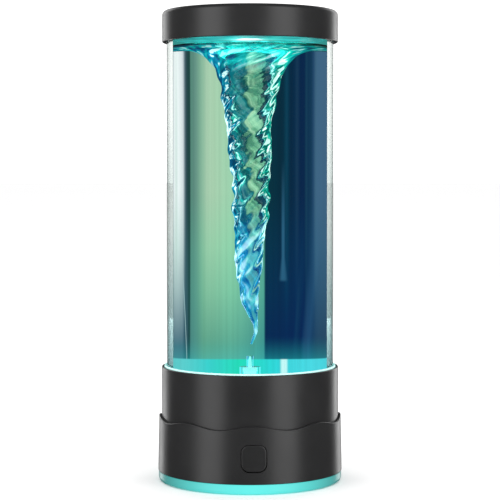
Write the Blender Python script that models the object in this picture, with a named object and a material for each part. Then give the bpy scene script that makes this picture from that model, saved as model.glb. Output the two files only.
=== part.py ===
"""Tornado lamp: a water-filled clear tube between two black housings. A motor in the base turns a
magnet carrier, which drags an impeller on the tank floor round and draws the water into a vortex.

Metres, +Z up. The origin is on the tube's axis at the standing face, and the button faces -Y.
"""

from math import asin, cos, log, pi, radians, sin, sqrt

import bmesh
import bpy
from mathutils import Matrix, Vector

MM = 0.001

# Clearances that several pieces share
SEAT_GAP = 0.3 * MM
RUN_GAP = 0.5 * MM
SHAFT_GAP = 0.1 * MM
CUT_OVERRUN = 1.0 * MM
JOIN_OVERLAP = 0.4 * MM
WELD = 0.002 * MM

# Counts of sides round a turned shape
FINE_SIDES = 56
WALL_SIDES = 36
INNER_SIDES = 16
SMALL_SIDES = 10
SCREW_SIDES = 8
FILLET_STEPS = 3

# Tank tube: standard clear acrylic tube
TUBE_OUTER_R = 55.0 * MM
TUBE_WALL = 4.0 * MM
TUBE_LENGTH = 245.0 * MM

# Top cap, with its gasket and the white reflector plug inside
CAP_WALL = 2.7 * MM
CAP_HEIGHT = 20.5 * MM
CAP_ROOF = 3.1 * MM
CAP_TOP_FILLET = 2.8 * MM
CAP_FOOT_FILLET = 0.6 * MM
GASKET_THICK = 2.0 * MM
REFLECTOR_WALL = 1.5 * MM
REFLECTOR_LIFT = 1.5 * MM
REFLECTOR_DISH = 1.2 * MM
REFLECTOR_DISH_R = 14.0 * MM

# Rubber feet and bottom plate
FOOT_PROUD = 0.8 * MM
FOOT_THICK = 2.0 * MM
FOOT_R = 6.0 * MM
FOOT_INSET = 9.8 * MM
FOOT_CHAMFER = 0.4 * MM
FOOT_COUNT = 4
PLATE_THICK = 3.0 * MM
PLATE_EDGE_CHAMFER = 0.6 * MM

# Light ring under the skirt
RING_HEIGHT = 5.6 * MM
RING_BAND = 6.5 * MM
RING_INSET = 0.3 * MM
RING_TUCK = 0.6 * MM
RING_TUCK_HEIGHT = 1.6 * MM
RING_TUCK_STEPS = 2
RING_FLANGE = 3.0 * MM

# Base skirt: the lower housing, with its wavy rim
SKIRT_RIM_WALL = 1.45 * MM
SKIRT_FLARE = 0.65 * MM
SKIRT_LEDGE = 0.9 * MM
SKIRT_LEDGE_OVER_BUTTON = 3.8 * MM
SKIRT_HEIGHT = 35.2 * MM
SKIRT_RIM_FILLET = 0.5 * MM
SKIRT_FOOT_FILLET = 0.4 * MM
SKIRT_OPENING_REACH = 12.0 * MM
WAVE_HEIGHT = 1.4 * MM
WAVE_COUNT = 8
WAVE_SIDES = 9 * WAVE_COUNT

# Base collar: the upper housing, with the deck that carries the tank
COLLAR_RIM_WALL = 1.5 * MM
COLLAR_WALL = 2.5 * MM
COLLAR_TOP_OVER_SKIRT_FOOT = 68.6 * MM
COLLAR_RIM_FILLET = 0.7 * MM
DECK_DROP = 23.0 * MM
DECK_THICK = 2.5 * MM
DECK_HOLE_R = 16.0 * MM
POST_COUNT = 4
POST_R = 3.5 * MM
POST_INSET = 5.1 * MM
POST_RIB = 1.6 * MM
POST_RIB_DROP = 16.0 * MM

# Seat ring: pale light guide round the tube's foot
SEAT_RING_WALL = 1.4 * MM
SEAT_RING_PROUD = 0.9 * MM
SEAT_RING_LEDGE = 4.3 * MM
SEAT_RING_LEDGE_THICK = 3.4 * MM
SEAT_RING_LIP_FILLET = 0.35 * MM

# Tank floor, clear, with the pivot pin
FLOOR_FLANGE = 2.3 * MM
FLOOR_SPIGOT = 3.0 * MM
PIN_R = 1.0 * MM
PIN_DEPTH = 3.7 * MM
PIN_LENGTH = 13.8 * MM
PIN_TIP = 0.4 * MM

# Impeller: rotor disc with vanes, drum, flange and nose
ROTOR_R = 14.0 * MM
ROTOR_THICK = 3.2 * MM
VANE_HEIGHT = 2.2 * MM
VANE_THICK = 1.3 * MM
VANE_SWEEP = radians(52)
VANE_COUNT = 6
VANE_STEPS = 5
DRUM_R = 4.2 * MM
DRUM_TOP = 10.9 * MM
HUB_FLANGE_R = 4.8 * MM
HUB_FLANGE_HEIGHT = 2.6 * MM
NOSE_R = 1.3 * MM
NOSE_TIP_R = 0.7 * MM
NOSE_HEIGHT = 7.5 * MM

# Magnets, on one circle in the impeller and in the carrier below
MAGNET_R = 4.0 * MM
MAGNET_CIRCLE_R = 9.0 * MM
MAGNET_COUNT = 4
ROTOR_MAGNET_THICK = 2.0 * MM
DRIVE_MAGNET_THICK = 3.0 * MM

# Water and its vortex. Depths are measured down from the still water level
WATER_AIR_SPACE = 5.3 * MM
WATER_HUB_GAP = 0.5 * MM
VORTEX_OVER_NOSE = 7.7 * MM
VORTEX_TIP_R = 0.5 * MM
VORTEX_SHOULDER_R = 9.8 * MM
VORTEX_FLARE_R = 3.1 * MM
VORTEX_FLARE_DEPTH = 71.0 * MM
VORTEX_FLARE_POWER = 1.5
VORTEX_CALM_DEPTH = 25.0 * MM
VORTEX_TWIST_PITCH = 72.0 * MM
VORTEX_SWAY_PITCH = 96.0 * MM
VORTEX_SWAY = 0.9 * MM
VORTEX_SWAY_DEPTH = 40.0 * MM
VORTEX_EDGE = 3.0 * MM
VORTEX_LOBES = 5
VORTEX_LOBE_SHARE = 0.06
VORTEX_BRAID_LOBES = 2
VORTEX_BRAID_SHARE = 0.045
VORTEX_BEAD_SHARE = 0.04
VORTEX_THREAD_SHARE = 0.25
VORTEX_BEAD_PITCH = 14.4 * MM
VORTEX_SIDES = 28
VORTEX_RINGS = 36
VORTEX_FIRST_DEPTH = 0.16 * MM
VORTEX_ROPE_DEPTH = 10.0 * MM
VORTEX_FUNNEL_RING_SHARE = 0.25

# Tank LED board, on the deck under the tank floor
BOARD_THICK = 1.6 * MM
LED_SIDE = 5.0 * MM
LED_HEIGHT = 1.4 * MM
TANK_LED_INSET = 16.7 * MM
TANK_LED_COUNT = 8

# Ring LED board, over the light ring
RING_BOARD_THICK = 1.2 * MM
RING_BOARD_BAND = 7.3 * MM
RING_LED_SIDE = 3.2 * MM
RING_LED_HEIGHT = 1.3 * MM
RING_LED_COUNT = 8

# Motor, shaft, magnet carrier and the bracket under the deck
MOTOR_R = 12.2 * MM
MOTOR_LENGTH = 20.0 * MM
MOTOR_EDGE = 0.8 * MM
MOTOR_BOSS_R = 3.1 * MM
MOTOR_BOSS_HEIGHT = 1.9 * MM
MOTOR_TAIL_R = 4.0 * MM
MOTOR_TAIL_HEIGHT = 1.8 * MM
MOTOR_TAB = (2.4 * MM, 0.6 * MM, 3.4 * MM)
MOTOR_TAB_OFFSET = 7.5 * MM
SHAFT_R = 1.0 * MM
SHAFT_BORE_DEPTH = 13.0 * MM
CARRIER_HEIGHT = 5.5 * MM
CARRIER_R = 14.4 * MM
CARRIER_EDGE = 0.5 * MM
SHAFT_SHORT = 0.6 * MM
BRACKET_R = 24.0 * MM
BRACKET_THICK = 2.4 * MM
BRACKET_SCREW_CIRCLE_R = 20.5 * MM
BRACKET_SCREW_COUNT = 3
MOTOR_SCREW_OFFSET = 8.0 * MM

# Screws: head radius, head height, shank radius and shank length
BASE_SCREW = (2.7 * MM, 1.3 * MM, 1.4 * MM, 12.0 * MM)
BRACKET_SCREW = (2.1 * MM, 1.1 * MM, 0.9 * MM, 3.9 * MM)
MOTOR_SCREW = (1.8 * MM, 0.8 * MM, 0.8 * MM, 4.4 * MM)
BOARD_SCREW = (2.2 * MM, 1.2 * MM, 0.9 * MM, 5.0 * MM)
SCREW_HEAD_CHAMFER = 0.35 * MM
SCREW_RELIEF = 1.6 * MM

# Power button, in the front of the skirt
BUTTON_WIDTH = 16.1 * MM
BUTTON_TALL = 17.1 * MM
BUTTON_CORNER_R = 5.0 * MM
BUTTON_HEIGHT = 23.2 * MM
BUTTON_RECESS = 0.15 * MM
BUTTON_EDGE = 0.5 * MM
BUTTON_FLANGE = 1.3 * MM
BUTTON_FLANGE_THICK = 1.2 * MM
BUTTON_STEM_R = 1.8 * MM
BUTTON_STEM_LENGTH = 3.5 * MM
BUTTON_TRAVEL = 0.6 * MM
BUTTON_CORNER_STEPS = 5
BUTTON_FACE_SHARES = (0.7, 0.36)

# Switch behind the button, on its own upright board
SWITCH_SIDE = 6.0 * MM
SWITCH_DEPTH = 3.6 * MM
PLUNGER_R = 1.7 * MM
PLUNGER_LENGTH = 2.9 * MM
PLUNGER_FRONT = 1.2 * MM
SWITCH_BOARD_WIDTH = 16.0 * MM
SWITCH_BOARD_MARGIN = 7.0 * MM
SLOT_CHEEK = 1.6 * MM
SLOT_BITE = 2.0 * MM
SLOT_TALL = 7.0 * MM

# USB socket at the back, on the control board
USB_WIDTH = 8.94 * MM
USB_TALL = 3.2 * MM
USB_DEPTH = 7.35 * MM
USB_WALL = 0.32 * MM
USB_FLOOR = 1.2 * MM
USB_TONGUE = (6.6 * MM, 4.4 * MM, 0.7 * MM)
USB_CORNER_STEPS = 4
USB_SETBACK = 1.3 * MM
USB_OVERHANG = 2.45 * MM
USB_PORT_WIDTH = 12.2 * MM
USB_PORT_TALL = 6.6 * MM
USB_PORT_CORNER_R = 2.6 * MM

# Control board, on posts that rise from the bottom plate
CONTROL_WIDTH = 36.0 * MM
CONTROL_LENGTH = 27.0 * MM
CONTROL_HEIGHT = 12.2 * MM
CONTROL_POST_R = 2.6 * MM
CONTROL_POST_INSET = 3.6 * MM
CONTROL_POST_FROM_BACK = 9.0 * MM
CHIP_FROM_BACK = 18.0 * MM
CHIP = (6.0 * MM, 6.0 * MM, 1.2 * MM)
CAPACITOR_R = 2.5 * MM
CAPACITOR_HEIGHT = 6.0 * MM

# Colours are linear red, green and blue
BLACK_PLASTIC = (0.032, 0.032, 0.034)
DARK_PLASTIC = (0.022, 0.022, 0.024)
CLEAR = (0.93, 0.98, 0.98)
WATER_TINT = (0.16, 0.55, 0.52)
PALE_GUIDE = (0.80, 0.93, 0.92)
CYAN_GUIDE = (0.10, 0.72, 0.70)
WHITE_PLASTIC = (0.82, 0.84, 0.84)
GREY_RUBBER = (0.09, 0.09, 0.09)
CLEAR_RUBBER = (0.62, 0.66, 0.66)
STEEL = (0.62, 0.62, 0.63)
NICKEL = (0.70, 0.69, 0.66)
BOARD_GREEN = (0.02, 0.14, 0.06)
BOARD_WHITE = (0.78, 0.79, 0.77)


# Levels, from the table up
plate_low = FOOT_PROUD
plate_high = plate_low + PLATE_THICK
ring_high = plate_low + RING_HEIGHT
skirt_low = ring_high + SEAT_GAP
skirt_ledge = BUTTON_HEIGHT + BUTTON_TALL / 2 + SKIRT_LEDGE_OVER_BUTTON
skirt_rim = skirt_low + SKIRT_HEIGHT
collar_low = skirt_ledge + SEAT_GAP
collar_high = skirt_low + COLLAR_TOP_OVER_SKIRT_FOOT
deck_high = collar_high - DECK_DROP
deck_low = deck_high - DECK_THICK
seat_low = deck_high + SEAT_GAP
floor_low = seat_low + SEAT_RING_LEDGE_THICK + SEAT_GAP
floor_ledge = floor_low + FLOOR_FLANGE
floor_high = floor_ledge + FLOOR_SPIGOT
tube_low = floor_ledge + SEAT_GAP
tube_high = tube_low + TUBE_LENGTH
gasket_low = tube_high + SEAT_GAP
gasket_high = gasket_low + GASKET_THICK
cap_ceiling = gasket_high + SEAT_GAP
cap_high = cap_ceiling + CAP_ROOF
cap_low = cap_high - CAP_HEIGHT
reflector_low = cap_low + REFLECTOR_LIFT
water_level = reflector_low - WATER_AIR_SPACE
water_low = floor_high + SEAT_GAP
rotor_low = floor_high + RUN_GAP
rotor_high = rotor_low + ROTOR_THICK
drum_high = rotor_low + DRUM_TOP
flange_high = drum_high + HUB_FLANGE_HEIGHT
nose_high = flange_high + NOSE_HEIGHT
pin_low = floor_high - PIN_DEPTH + SEAT_GAP
pin_high = pin_low + PIN_LENGTH
bracket_high = deck_low - SEAT_GAP
bracket_low = bracket_high - BRACKET_THICK
motor_high = bracket_low - SEAT_GAP
motor_low = motor_high - MOTOR_LENGTH
carrier_low = bracket_high + RUN_GAP
carrier_high = carrier_low + CARRIER_HEIGHT
control_low = CONTROL_HEIGHT
control_high = control_low + BOARD_THICK

# Radii, from the tube outwards
tube_inner_r = TUBE_OUTER_R - TUBE_WALL
in_tube_r = tube_inner_r - SEAT_GAP
seat_inner_r = TUBE_OUTER_R + SEAT_GAP
seat_outer_r = seat_inner_r + SEAT_RING_WALL
seat_ledge_r = seat_inner_r - SEAT_RING_LEDGE
collar_rim_r = seat_outer_r + SEAT_GAP
collar_outer_r = collar_rim_r + COLLAR_RIM_WALL
collar_inner_r = collar_outer_r - COLLAR_WALL
skirt_rim_inner_r = collar_outer_r + SEAT_GAP
skirt_rim_outer_r = skirt_rim_inner_r + SKIRT_RIM_WALL
skirt_foot_r = skirt_rim_outer_r + SKIRT_FLARE
skirt_inner_r = skirt_rim_inner_r - SKIRT_LEDGE
ring_outer_r = skirt_foot_r - RING_INSET
ring_inner_r = ring_outer_r - RING_BAND
ring_flange_r = ring_inner_r - RING_FLANGE
plate_r = ring_inner_r - SEAT_GAP
cap_inner_r = TUBE_OUTER_R + SEAT_GAP
cap_outer_r = cap_inner_r + CAP_WALL
foot_circle_r = plate_r - FOOT_INSET
post_circle_r = ring_flange_r - POST_INSET
led_board_r = seat_ledge_r - SEAT_GAP
led_circle_r = led_board_r - TANK_LED_INSET

# The vortex ends just above the impeller's nose
vortex_depth = water_level - nose_high - VORTEX_OVER_NOSE


def skirt_face_r(height):
    """The skirt's outer radius at a height: it flares a little towards the foot."""
    return skirt_foot_r + (skirt_rim_outer_r - skirt_foot_r) * (height - skirt_low) / SKIRT_HEIGHT


def surface(name, colour, roughness, metallic=0.0, alpha=1.0):
    """A Principled material, made once for each object."""
    material = bpy.data.materials.new(name)
    material.use_nodes = True
    shader = material.node_tree.nodes["Principled BSDF"]
    shader.inputs["Base Color"].default_value = (*colour, 1.0)
    shader.inputs["Roughness"].default_value = roughness
    shader.inputs["Metallic"].default_value = metallic
    shader.inputs["Alpha"].default_value = alpha
    material.diffuse_color = (*colour, alpha)
    return material


def piece(name, mesh_maker, colour, roughness, metallic=0.0, alpha=1.0):
    """Turns a bmesh into a named object with its own material."""
    bmesh.ops.recalc_face_normals(mesh_maker, faces=mesh_maker.faces)
    mesh = bpy.data.meshes.new(name)
    mesh_maker.to_mesh(mesh)
    mesh_maker.free()
    mesh.shade_smooth()
    mesh.set_sharp_from_angle(angle=radians(32))
    mesh.materials.append(surface(name, colour, roughness, metallic, alpha))
    built = bpy.data.objects.new(name, mesh)
    bpy.context.scene.collection.objects.link(built)
    return built


def tool(name, mesh_maker):
    """A shape that only cuts or joins another."""
    bmesh.ops.recalc_face_normals(mesh_maker, faces=mesh_maker.faces)
    mesh = bpy.data.meshes.new(name)
    mesh_maker.to_mesh(mesh)
    mesh_maker.free()
    built = bpy.data.objects.new(name, mesh)
    built.hide_render = True
    built.display_type = "WIRE"
    bpy.context.scene.collection.objects.link(built)
    return built


def combine(target, with_tool, operation):
    """A Boolean of the target with a tool."""
    modifier = target.modifiers.new(operation.lower(), "BOOLEAN")
    modifier.operation = operation
    modifier.solver = "EXACT"
    modifier.use_self = True
    modifier.object = with_tool


def turned(profile, sides):
    """A solid of revolution about Z. A profile that starts off the axis is closed on itself."""
    made = bmesh.new()
    points = [made.verts.new((radius, 0, height)) for radius, height in profile]
    lines = [made.edges.new(pair) for pair in zip(points, points[1:])]
    if profile[0][0] > 0:
        lines.append(made.edges.new((points[-1], points[0])))
    bmesh.ops.spin(
        made, geom=points + lines, cent=(0, 0, 0), axis=(0, 0, 1), angle=2 * pi, steps=sides, use_merge=True
    )
    bmesh.ops.remove_doubles(made, verts=made.verts, dist=WELD)
    return made


def fillet(centre_r, centre_z, radius, start, end, steps=FILLET_STEPS):
    """Profile points along a round corner, from one angle to another."""
    angles = [start + (end - start) * step / steps for step in range(steps + 1)]
    return [(centre_r + radius * cos(angle), centre_z + radius * sin(angle)) for angle in angles]


def band(made, near, far):
    """Faces between two loops of points. The far loop has as many points as the near one, or twice."""
    for place, corner in enumerate(near):
        after = (place + 1) % len(near)
        if len(far) == len(near):
            made.faces.new((corner, near[after], far[after], far[place]))
            continue
        between = far[2 * place + 1]
        made.faces.new((corner, between, far[2 * place]))
        made.faces.new((corner, near[after], between))
        made.faces.new((near[after], far[2 * after], between))


def crown(made, loop, point):
    """A fan of faces from a loop to one point."""
    tip = made.verts.new(point)
    for place, corner in enumerate(loop):
        made.faces.new((corner, loop[(place + 1) % len(loop)], tip))


def lofted(loops, made=None):
    """A closed solid through loops of equally many points, with a face over each end."""
    if made is None:
        made = bmesh.new()
    rings = [[made.verts.new(point) for point in loop] for loop in loops]
    for near, far in zip(rings, rings[1:]):
        band(made, near, far)
    made.faces.new(rings[0])
    made.faces.new(rings[-1])
    return made


def drum(made, x, y, radius, low, high, sides=SMALL_SIDES):
    """Adds an upright cylinder."""
    place = Matrix.Translation((x, y, (low + high) / 2))
    bmesh.ops.create_cone(
        made, cap_ends=True, segments=sides, radius1=radius, radius2=radius, depth=high - low, matrix=place
    )


def block(made, x_span, y_span, z_span, turn=0.0):
    """Adds a box between two ends on each axis, then turns it about Z."""
    middle = [(low + high) / 2 for low, high in (x_span, y_span, z_span)]
    size = [high - low for low, high in (x_span, y_span, z_span)]
    place = Matrix.Rotation(turn, 4, "Z") @ Matrix.Translation(middle) @ Matrix.Diagonal((*size, 1.0))
    bmesh.ops.create_cube(made, size=1.0, matrix=place)


def ring(made, radius, height, sides):
    """Adds a level circle of points."""
    angles = [2 * pi * side / sides for side in range(sides)]
    return [made.verts.new((radius * cos(angle), radius * sin(angle), height)) for angle in angles]


def round_box(width, tall, corner_r, steps):
    """Points of a rounded rectangle about the origin, as pairs."""
    points = []
    for quarter in range(4):
        across = (width / 2 - corner_r) * (1 if quarter in (0, 3) else -1)
        up = (tall / 2 - corner_r) * (1 if quarter in (0, 1) else -1)
        for step in range(steps + 1):
            angle = pi / 2 * (quarter + step / steps)
            points.append((across + corner_r * cos(angle), up + corner_r * sin(angle)))
    return points


def around(count, radius, first=0.0):
    """Places on a circle, as x, y and the angle."""
    turns = [first + 2 * pi * number / count for number in range(count)]
    return [(radius * cos(turn), radius * sin(turn), turn) for turn in turns]


def post_places():
    """The four posts that take the base screws, on the diagonals."""
    return around(POST_COUNT, post_circle_r, pi / POST_COUNT)


def screw(name, sizes, x, y, head_face, upwards):
    """A pan-head screw whose head bears at head_face, with its shank pointing up or down."""
    head_r, head_height, shank_r, shank_length = sizes
    way = 1 if upwards else -1
    profile = [
        (0, -head_height),
        (head_r - SCREW_HEAD_CHAMFER, -head_height),
        (head_r, 0),
        (shank_r, 0),
        (shank_r, shank_length - shank_r),
        (0, shank_length),
    ]
    made = turned([(radius, height * way) for radius, height in profile], SCREW_SIDES)
    bmesh.ops.translate(made, verts=made.verts, vec=(x, y, head_face))
    return piece(name, made, STEEL, 0.35, 1.0)


def build_cap():
    """Cap with a rounded top edge, the flat gasket over the tube's end and the reflector plug."""
    profile = [(0, cap_high)]
    profile += fillet(cap_outer_r - CAP_TOP_FILLET, cap_high - CAP_TOP_FILLET, CAP_TOP_FILLET, pi / 2, 0)
    foot_r = CAP_FOOT_FILLET
    profile += fillet(cap_outer_r - foot_r, cap_low + foot_r, foot_r, 0, -pi / 2, 1)
    profile += [(cap_inner_r, cap_low), (cap_inner_r, cap_ceiling), (0, cap_ceiling)]
    piece("top_cap", turned(profile, FINE_SIDES), BLACK_PLASTIC, 0.42)

    profile = [
        (tube_inner_r, gasket_low),
        (TUBE_OUTER_R, gasket_low),
        (TUBE_OUTER_R, gasket_high),
        (tube_inner_r, gasket_high),
    ]
    piece("cap_gasket", turned(profile, WALL_SIDES), CLEAR_RUBBER, 0.6)

    well_r = in_tube_r - REFLECTOR_WALL
    profile = [
        (0, reflector_low + REFLECTOR_DISH),
        (REFLECTOR_DISH_R, reflector_low),
        (in_tube_r, reflector_low),
        (in_tube_r, gasket_high),
        (well_r, gasket_high),
        (well_r, reflector_low + REFLECTOR_WALL + REFLECTOR_DISH),
        (0, reflector_low + REFLECTOR_WALL + REFLECTOR_DISH),
    ]
    piece("cap_reflector", turned(profile, WALL_SIDES), WHITE_PLASTIC, 0.35)


def build_tube():
    """Clear tube with square ends."""
    profile = [
        (tube_inner_r, tube_low),
        (TUBE_OUTER_R, tube_low),
        (TUBE_OUTER_R, tube_high),
        (tube_inner_r, tube_high),
    ]
    piece("tank_tube", turned(profile, FINE_SIDES), CLEAR, 0.03, 0.0, 0.25)


def build_tank_foot():
    """Seat ring round the tube's foot, the clear floor glued under the tube, and its pivot pin."""
    lip_high = collar_high + SEAT_RING_PROUD
    fillet_r = SEAT_RING_LIP_FILLET
    profile = [(seat_ledge_r, seat_low), (seat_outer_r, seat_low)]
    profile += fillet(seat_outer_r - fillet_r, lip_high - fillet_r, fillet_r, 0, pi / 2, 1)
    profile += [
        (seat_inner_r, lip_high),
        (seat_inner_r, seat_low + SEAT_RING_LEDGE_THICK),
        (seat_ledge_r, seat_low + SEAT_RING_LEDGE_THICK),
    ]
    piece("seat_ring", turned(profile, WALL_SIDES), PALE_GUIDE, 0.4)

    socket_r = PIN_R + SEAT_GAP
    profile = [
        (0, floor_low),
        (TUBE_OUTER_R, floor_low),
        (TUBE_OUTER_R, floor_ledge),
        (in_tube_r, floor_ledge),
        (in_tube_r, floor_high),
        (socket_r, floor_high),
        (socket_r, floor_high - PIN_DEPTH),
        (0, floor_high - PIN_DEPTH),
    ]
    piece("tank_floor", turned(profile, WALL_SIDES), CLEAR, 0.05, 0.0, 0.35)

    profile = [
        (0, pin_low),
        (PIN_R, pin_low),
        (PIN_R, pin_high - PIN_TIP),
        (PIN_R - PIN_TIP, pin_high),
        (0, pin_high),
    ]
    piece("pivot_pin", turned(profile, SMALL_SIDES), STEEL, 0.25, 1.0)


def build_impeller():
    """Rotor disc with swept vanes and magnet pockets, and the drum, flange and nose above it."""
    bore_r = PIN_R + SHAFT_GAP
    profile = [
        (bore_r, rotor_low),
        (ROTOR_R, rotor_low),
        (ROTOR_R, rotor_high),
        (DRUM_R, rotor_high),
        (DRUM_R, drum_high),
        (HUB_FLANGE_R, drum_high),
        (HUB_FLANGE_R, flange_high - NOSE_TIP_R),
        (HUB_FLANGE_R - NOSE_TIP_R, flange_high),
        (NOSE_R, flange_high),
        (NOSE_TIP_R, nose_high - NOSE_TIP_R),
        (0, nose_high),
    ]
    profile = [(0, pin_high + SEAT_GAP), (bore_r, pin_high + SEAT_GAP)] + profile
    impeller = piece("impeller", turned(profile, INNER_SIDES), PALE_GUIDE, 0.35)

    vanes = bmesh.new()
    inner_r = DRUM_R - JOIN_OVERLAP
    outer_r = ROTOR_R - JOIN_OVERLAP
    for _, _, turn in around(VANE_COUNT, ROTOR_R):
        outline = []
        for side in (1, -1):
            steps = range(VANE_STEPS + 1) if side > 0 else range(VANE_STEPS, -1, -1)
            for step in steps:
                share = step / VANE_STEPS
                radius = inner_r + (outer_r - inner_r) * share
                angle = turn - VANE_SWEEP * share + side * asin(VANE_THICK / 2 / radius)
                outline.append((radius * cos(angle), radius * sin(angle)))
        low = rotor_high - JOIN_OVERLAP
        high = rotor_high + VANE_HEIGHT
        lofted([[(x, y, level) for x, y in outline] for level in (low, high)], vanes)
    combine(impeller, tool("impeller_vanes", vanes), "UNION")

    pockets = bmesh.new()
    pocket_high = rotor_low + ROTOR_MAGNET_THICK + 2 * SEAT_GAP
    for x, y, _ in around(MAGNET_COUNT, MAGNET_CIRCLE_R):
        drum(pockets, x, y, MAGNET_R + SEAT_GAP, rotor_low - CUT_OVERRUN, pocket_high)
    combine(impeller, tool("impeller_pockets", pockets), "DIFFERENCE")


def build_magnets():
    """Disc magnets in the impeller's pockets and in the carrier's."""
    sets = (
        ("rotor_magnet", rotor_low + SEAT_GAP, ROTOR_MAGNET_THICK),
        ("drive_magnet", carrier_high - SEAT_GAP - DRIVE_MAGNET_THICK, DRIVE_MAGNET_THICK),
    )
    for name, low, thick in sets:
        for number, (x, y, _) in enumerate(around(MAGNET_COUNT, MAGNET_CIRCLE_R)):
            made = bmesh.new()
            drum(made, x, y, MAGNET_R, low, low + thick)
            piece(f"{name}_{number + 1}", made, NICKEL, 0.25, 1.0)


def vortex_radius(depth, angle):
    """How far the air reaches into the water at a depth and an angle: a core that widens upwards, a flare
    that grows towards the surface, and twisted lobes that fade out at both ends."""
    fallen = depth / vortex_depth
    core = VORTEX_TIP_R + (VORTEX_SHOULDER_R - VORTEX_TIP_R) * (1 - fallen**2)
    flare = VORTEX_FLARE_R * log(1 + (VORTEX_FLARE_DEPTH / depth) ** VORTEX_FLARE_POWER)
    twist = angle - 2 * pi * (water_level - depth) / VORTEX_TWIST_PITCH
    bead = 2 * pi * depth / VORTEX_BEAD_PITCH
    lobes = VORTEX_LOBE_SHARE * cos(VORTEX_LOBES * twist + sin(bead / VORTEX_LOBES))
    lobes += VORTEX_BRAID_SHARE * cos(VORTEX_BRAID_LOBES * twist)
    lobes += VORTEX_BEAD_SHARE * sin(bead + twist)
    shown = min(1, depth / VORTEX_CALM_DEPTH, (1 - fallen) / VORTEX_THREAD_SHARE)
    return (core + flare) * (1 + lobes * shown)


def vortex_loops():
    """Loops of the vortex from the water's edge down, closer together where the funnel bends."""
    last = vortex_depth * (1 - 1 / (2 * VORTEX_RINGS))
    loops = []
    for number in range(VORTEX_RINGS):
        share = number / (VORTEX_RINGS - 1) / VORTEX_FUNNEL_RING_SHARE
        depth = VORTEX_FIRST_DEPTH * (VORTEX_ROPE_DEPTH / VORTEX_FIRST_DEPTH) ** min(1, share)
        if share > 1:
            below = (share - 1) / (1 / VORTEX_FUNNEL_RING_SHARE - 1)
            depth = VORTEX_ROPE_DEPTH + (last - VORTEX_ROPE_DEPTH) * below
        sway = VORTEX_SWAY * min(1, depth / VORTEX_SWAY_DEPTH)
        swing = 2 * pi * depth / VORTEX_SWAY_PITCH
        loop = []
        for side in range(VORTEX_SIDES):
            angle = 2 * pi * side / VORTEX_SIDES
            radius = min(vortex_radius(depth, angle), in_tube_r - VORTEX_EDGE)
            x = sway * cos(swing) + radius * cos(angle)
            y = sway * sin(swing) + radius * sin(angle)
            loop.append((x, y, water_level - depth))
        loops.append(loop)
    return loops


def build_water():
    """The filled tank's water: open round the impeller below, with the vortex drawn into its top."""
    rotor_bore = ROTOR_R + WATER_HUB_GAP
    hub_bore = HUB_FLANGE_R + WATER_HUB_GAP
    nose_bore = NOSE_R + WATER_HUB_GAP
    bore = [
        (rotor_bore, water_low),
        (rotor_bore, rotor_high + VANE_HEIGHT + WATER_HUB_GAP),
        (hub_bore, rotor_high + VANE_HEIGHT + WATER_HUB_GAP),
        (hub_bore, flange_high + WATER_HUB_GAP),
        (nose_bore, flange_high + WATER_HUB_GAP),
        (nose_bore, nose_high),
    ]
    loops = vortex_loops()
    tip = sum((Vector(point) for point in loops[-1]), Vector()) / VORTEX_SIDES
    made = bmesh.new()
    vortex = [[made.verts.new(point) for point in loop] for loop in loops]
    wall = [ring(made, in_tube_r, height, 2 * VORTEX_SIDES) for height in (water_level, water_low)]
    hub = [ring(made, radius, height, VORTEX_SIDES) for radius, height in bore]
    crown(made, vortex[-1], (tip.x, tip.y, water_level - vortex_depth))
    for upper, lower in zip(vortex, vortex[1:]):
        band(made, upper, lower)
    band(made, vortex[0], wall[0])
    band(made, wall[0], wall[1])
    band(made, hub[0], wall[1])
    for lower, upper in zip(hub, hub[1:]):
        band(made, lower, upper)
    crown(made, hub[-1], (0, 0, nose_high + WATER_HUB_GAP))
    piece("water", made, WATER_TINT, 0.02, 0.0, 0.3)


def build_collar():
    """Upper housing: a turned shell with its deck, and four posts that take the base screws."""
    profile = [(collar_outer_r, collar_low)]
    profile += fillet(
        collar_outer_r - COLLAR_RIM_FILLET, collar_high - COLLAR_RIM_FILLET, COLLAR_RIM_FILLET, 0, pi / 2, 2
    )
    profile += [
        (collar_rim_r, collar_high),
        (collar_rim_r, deck_high),
        (DECK_HOLE_R, deck_high),
        (DECK_HOLE_R, deck_low),
        (collar_inner_r, deck_low),
        (collar_inner_r, collar_low),
    ]
    collar = piece("base_collar", turned(profile, FINE_SIDES), BLACK_PLASTIC, 0.42)

    posts = bmesh.new()
    reach = collar_inner_r + JOIN_OVERLAP
    post_low = plate_high + SEAT_GAP
    for x, y, _ in post_places():
        drum(posts, x, y, POST_R, post_low, deck_low + JOIN_OVERLAP)
    combine(collar, tool("collar_posts", posts), "UNION")

    ribs = bmesh.new()
    for _, _, turn in post_places():
        block(
            ribs,
            (post_circle_r + POST_R / 2, reach),
            (-POST_RIB / 2, POST_RIB / 2),
            (deck_low - POST_RIB_DROP, deck_low + JOIN_OVERLAP),
            turn,
        )
    combine(collar, tool("collar_ribs", ribs), "UNION")

    holes = bmesh.new()
    high = plate_low + SCREW_RELIEF + BASE_SCREW[3] + 2 * SEAT_GAP
    for x, y, _ in post_places():
        drum(holes, x, y, BASE_SCREW[2] + SEAT_GAP, post_low - CUT_OVERRUN, high, SCREW_SIDES)
    high = bracket_low + BRACKET_SCREW[3] + SEAT_GAP
    for x, y, _ in around(BRACKET_SCREW_COUNT, BRACKET_SCREW_CIRCLE_R, pi / 2):
        drum(holes, x, y, BRACKET_SCREW[2] + SEAT_GAP, deck_low - CUT_OVERRUN, high, SCREW_SIDES)
    combine(collar, tool("collar_holes", holes), "DIFFERENCE")


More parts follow.
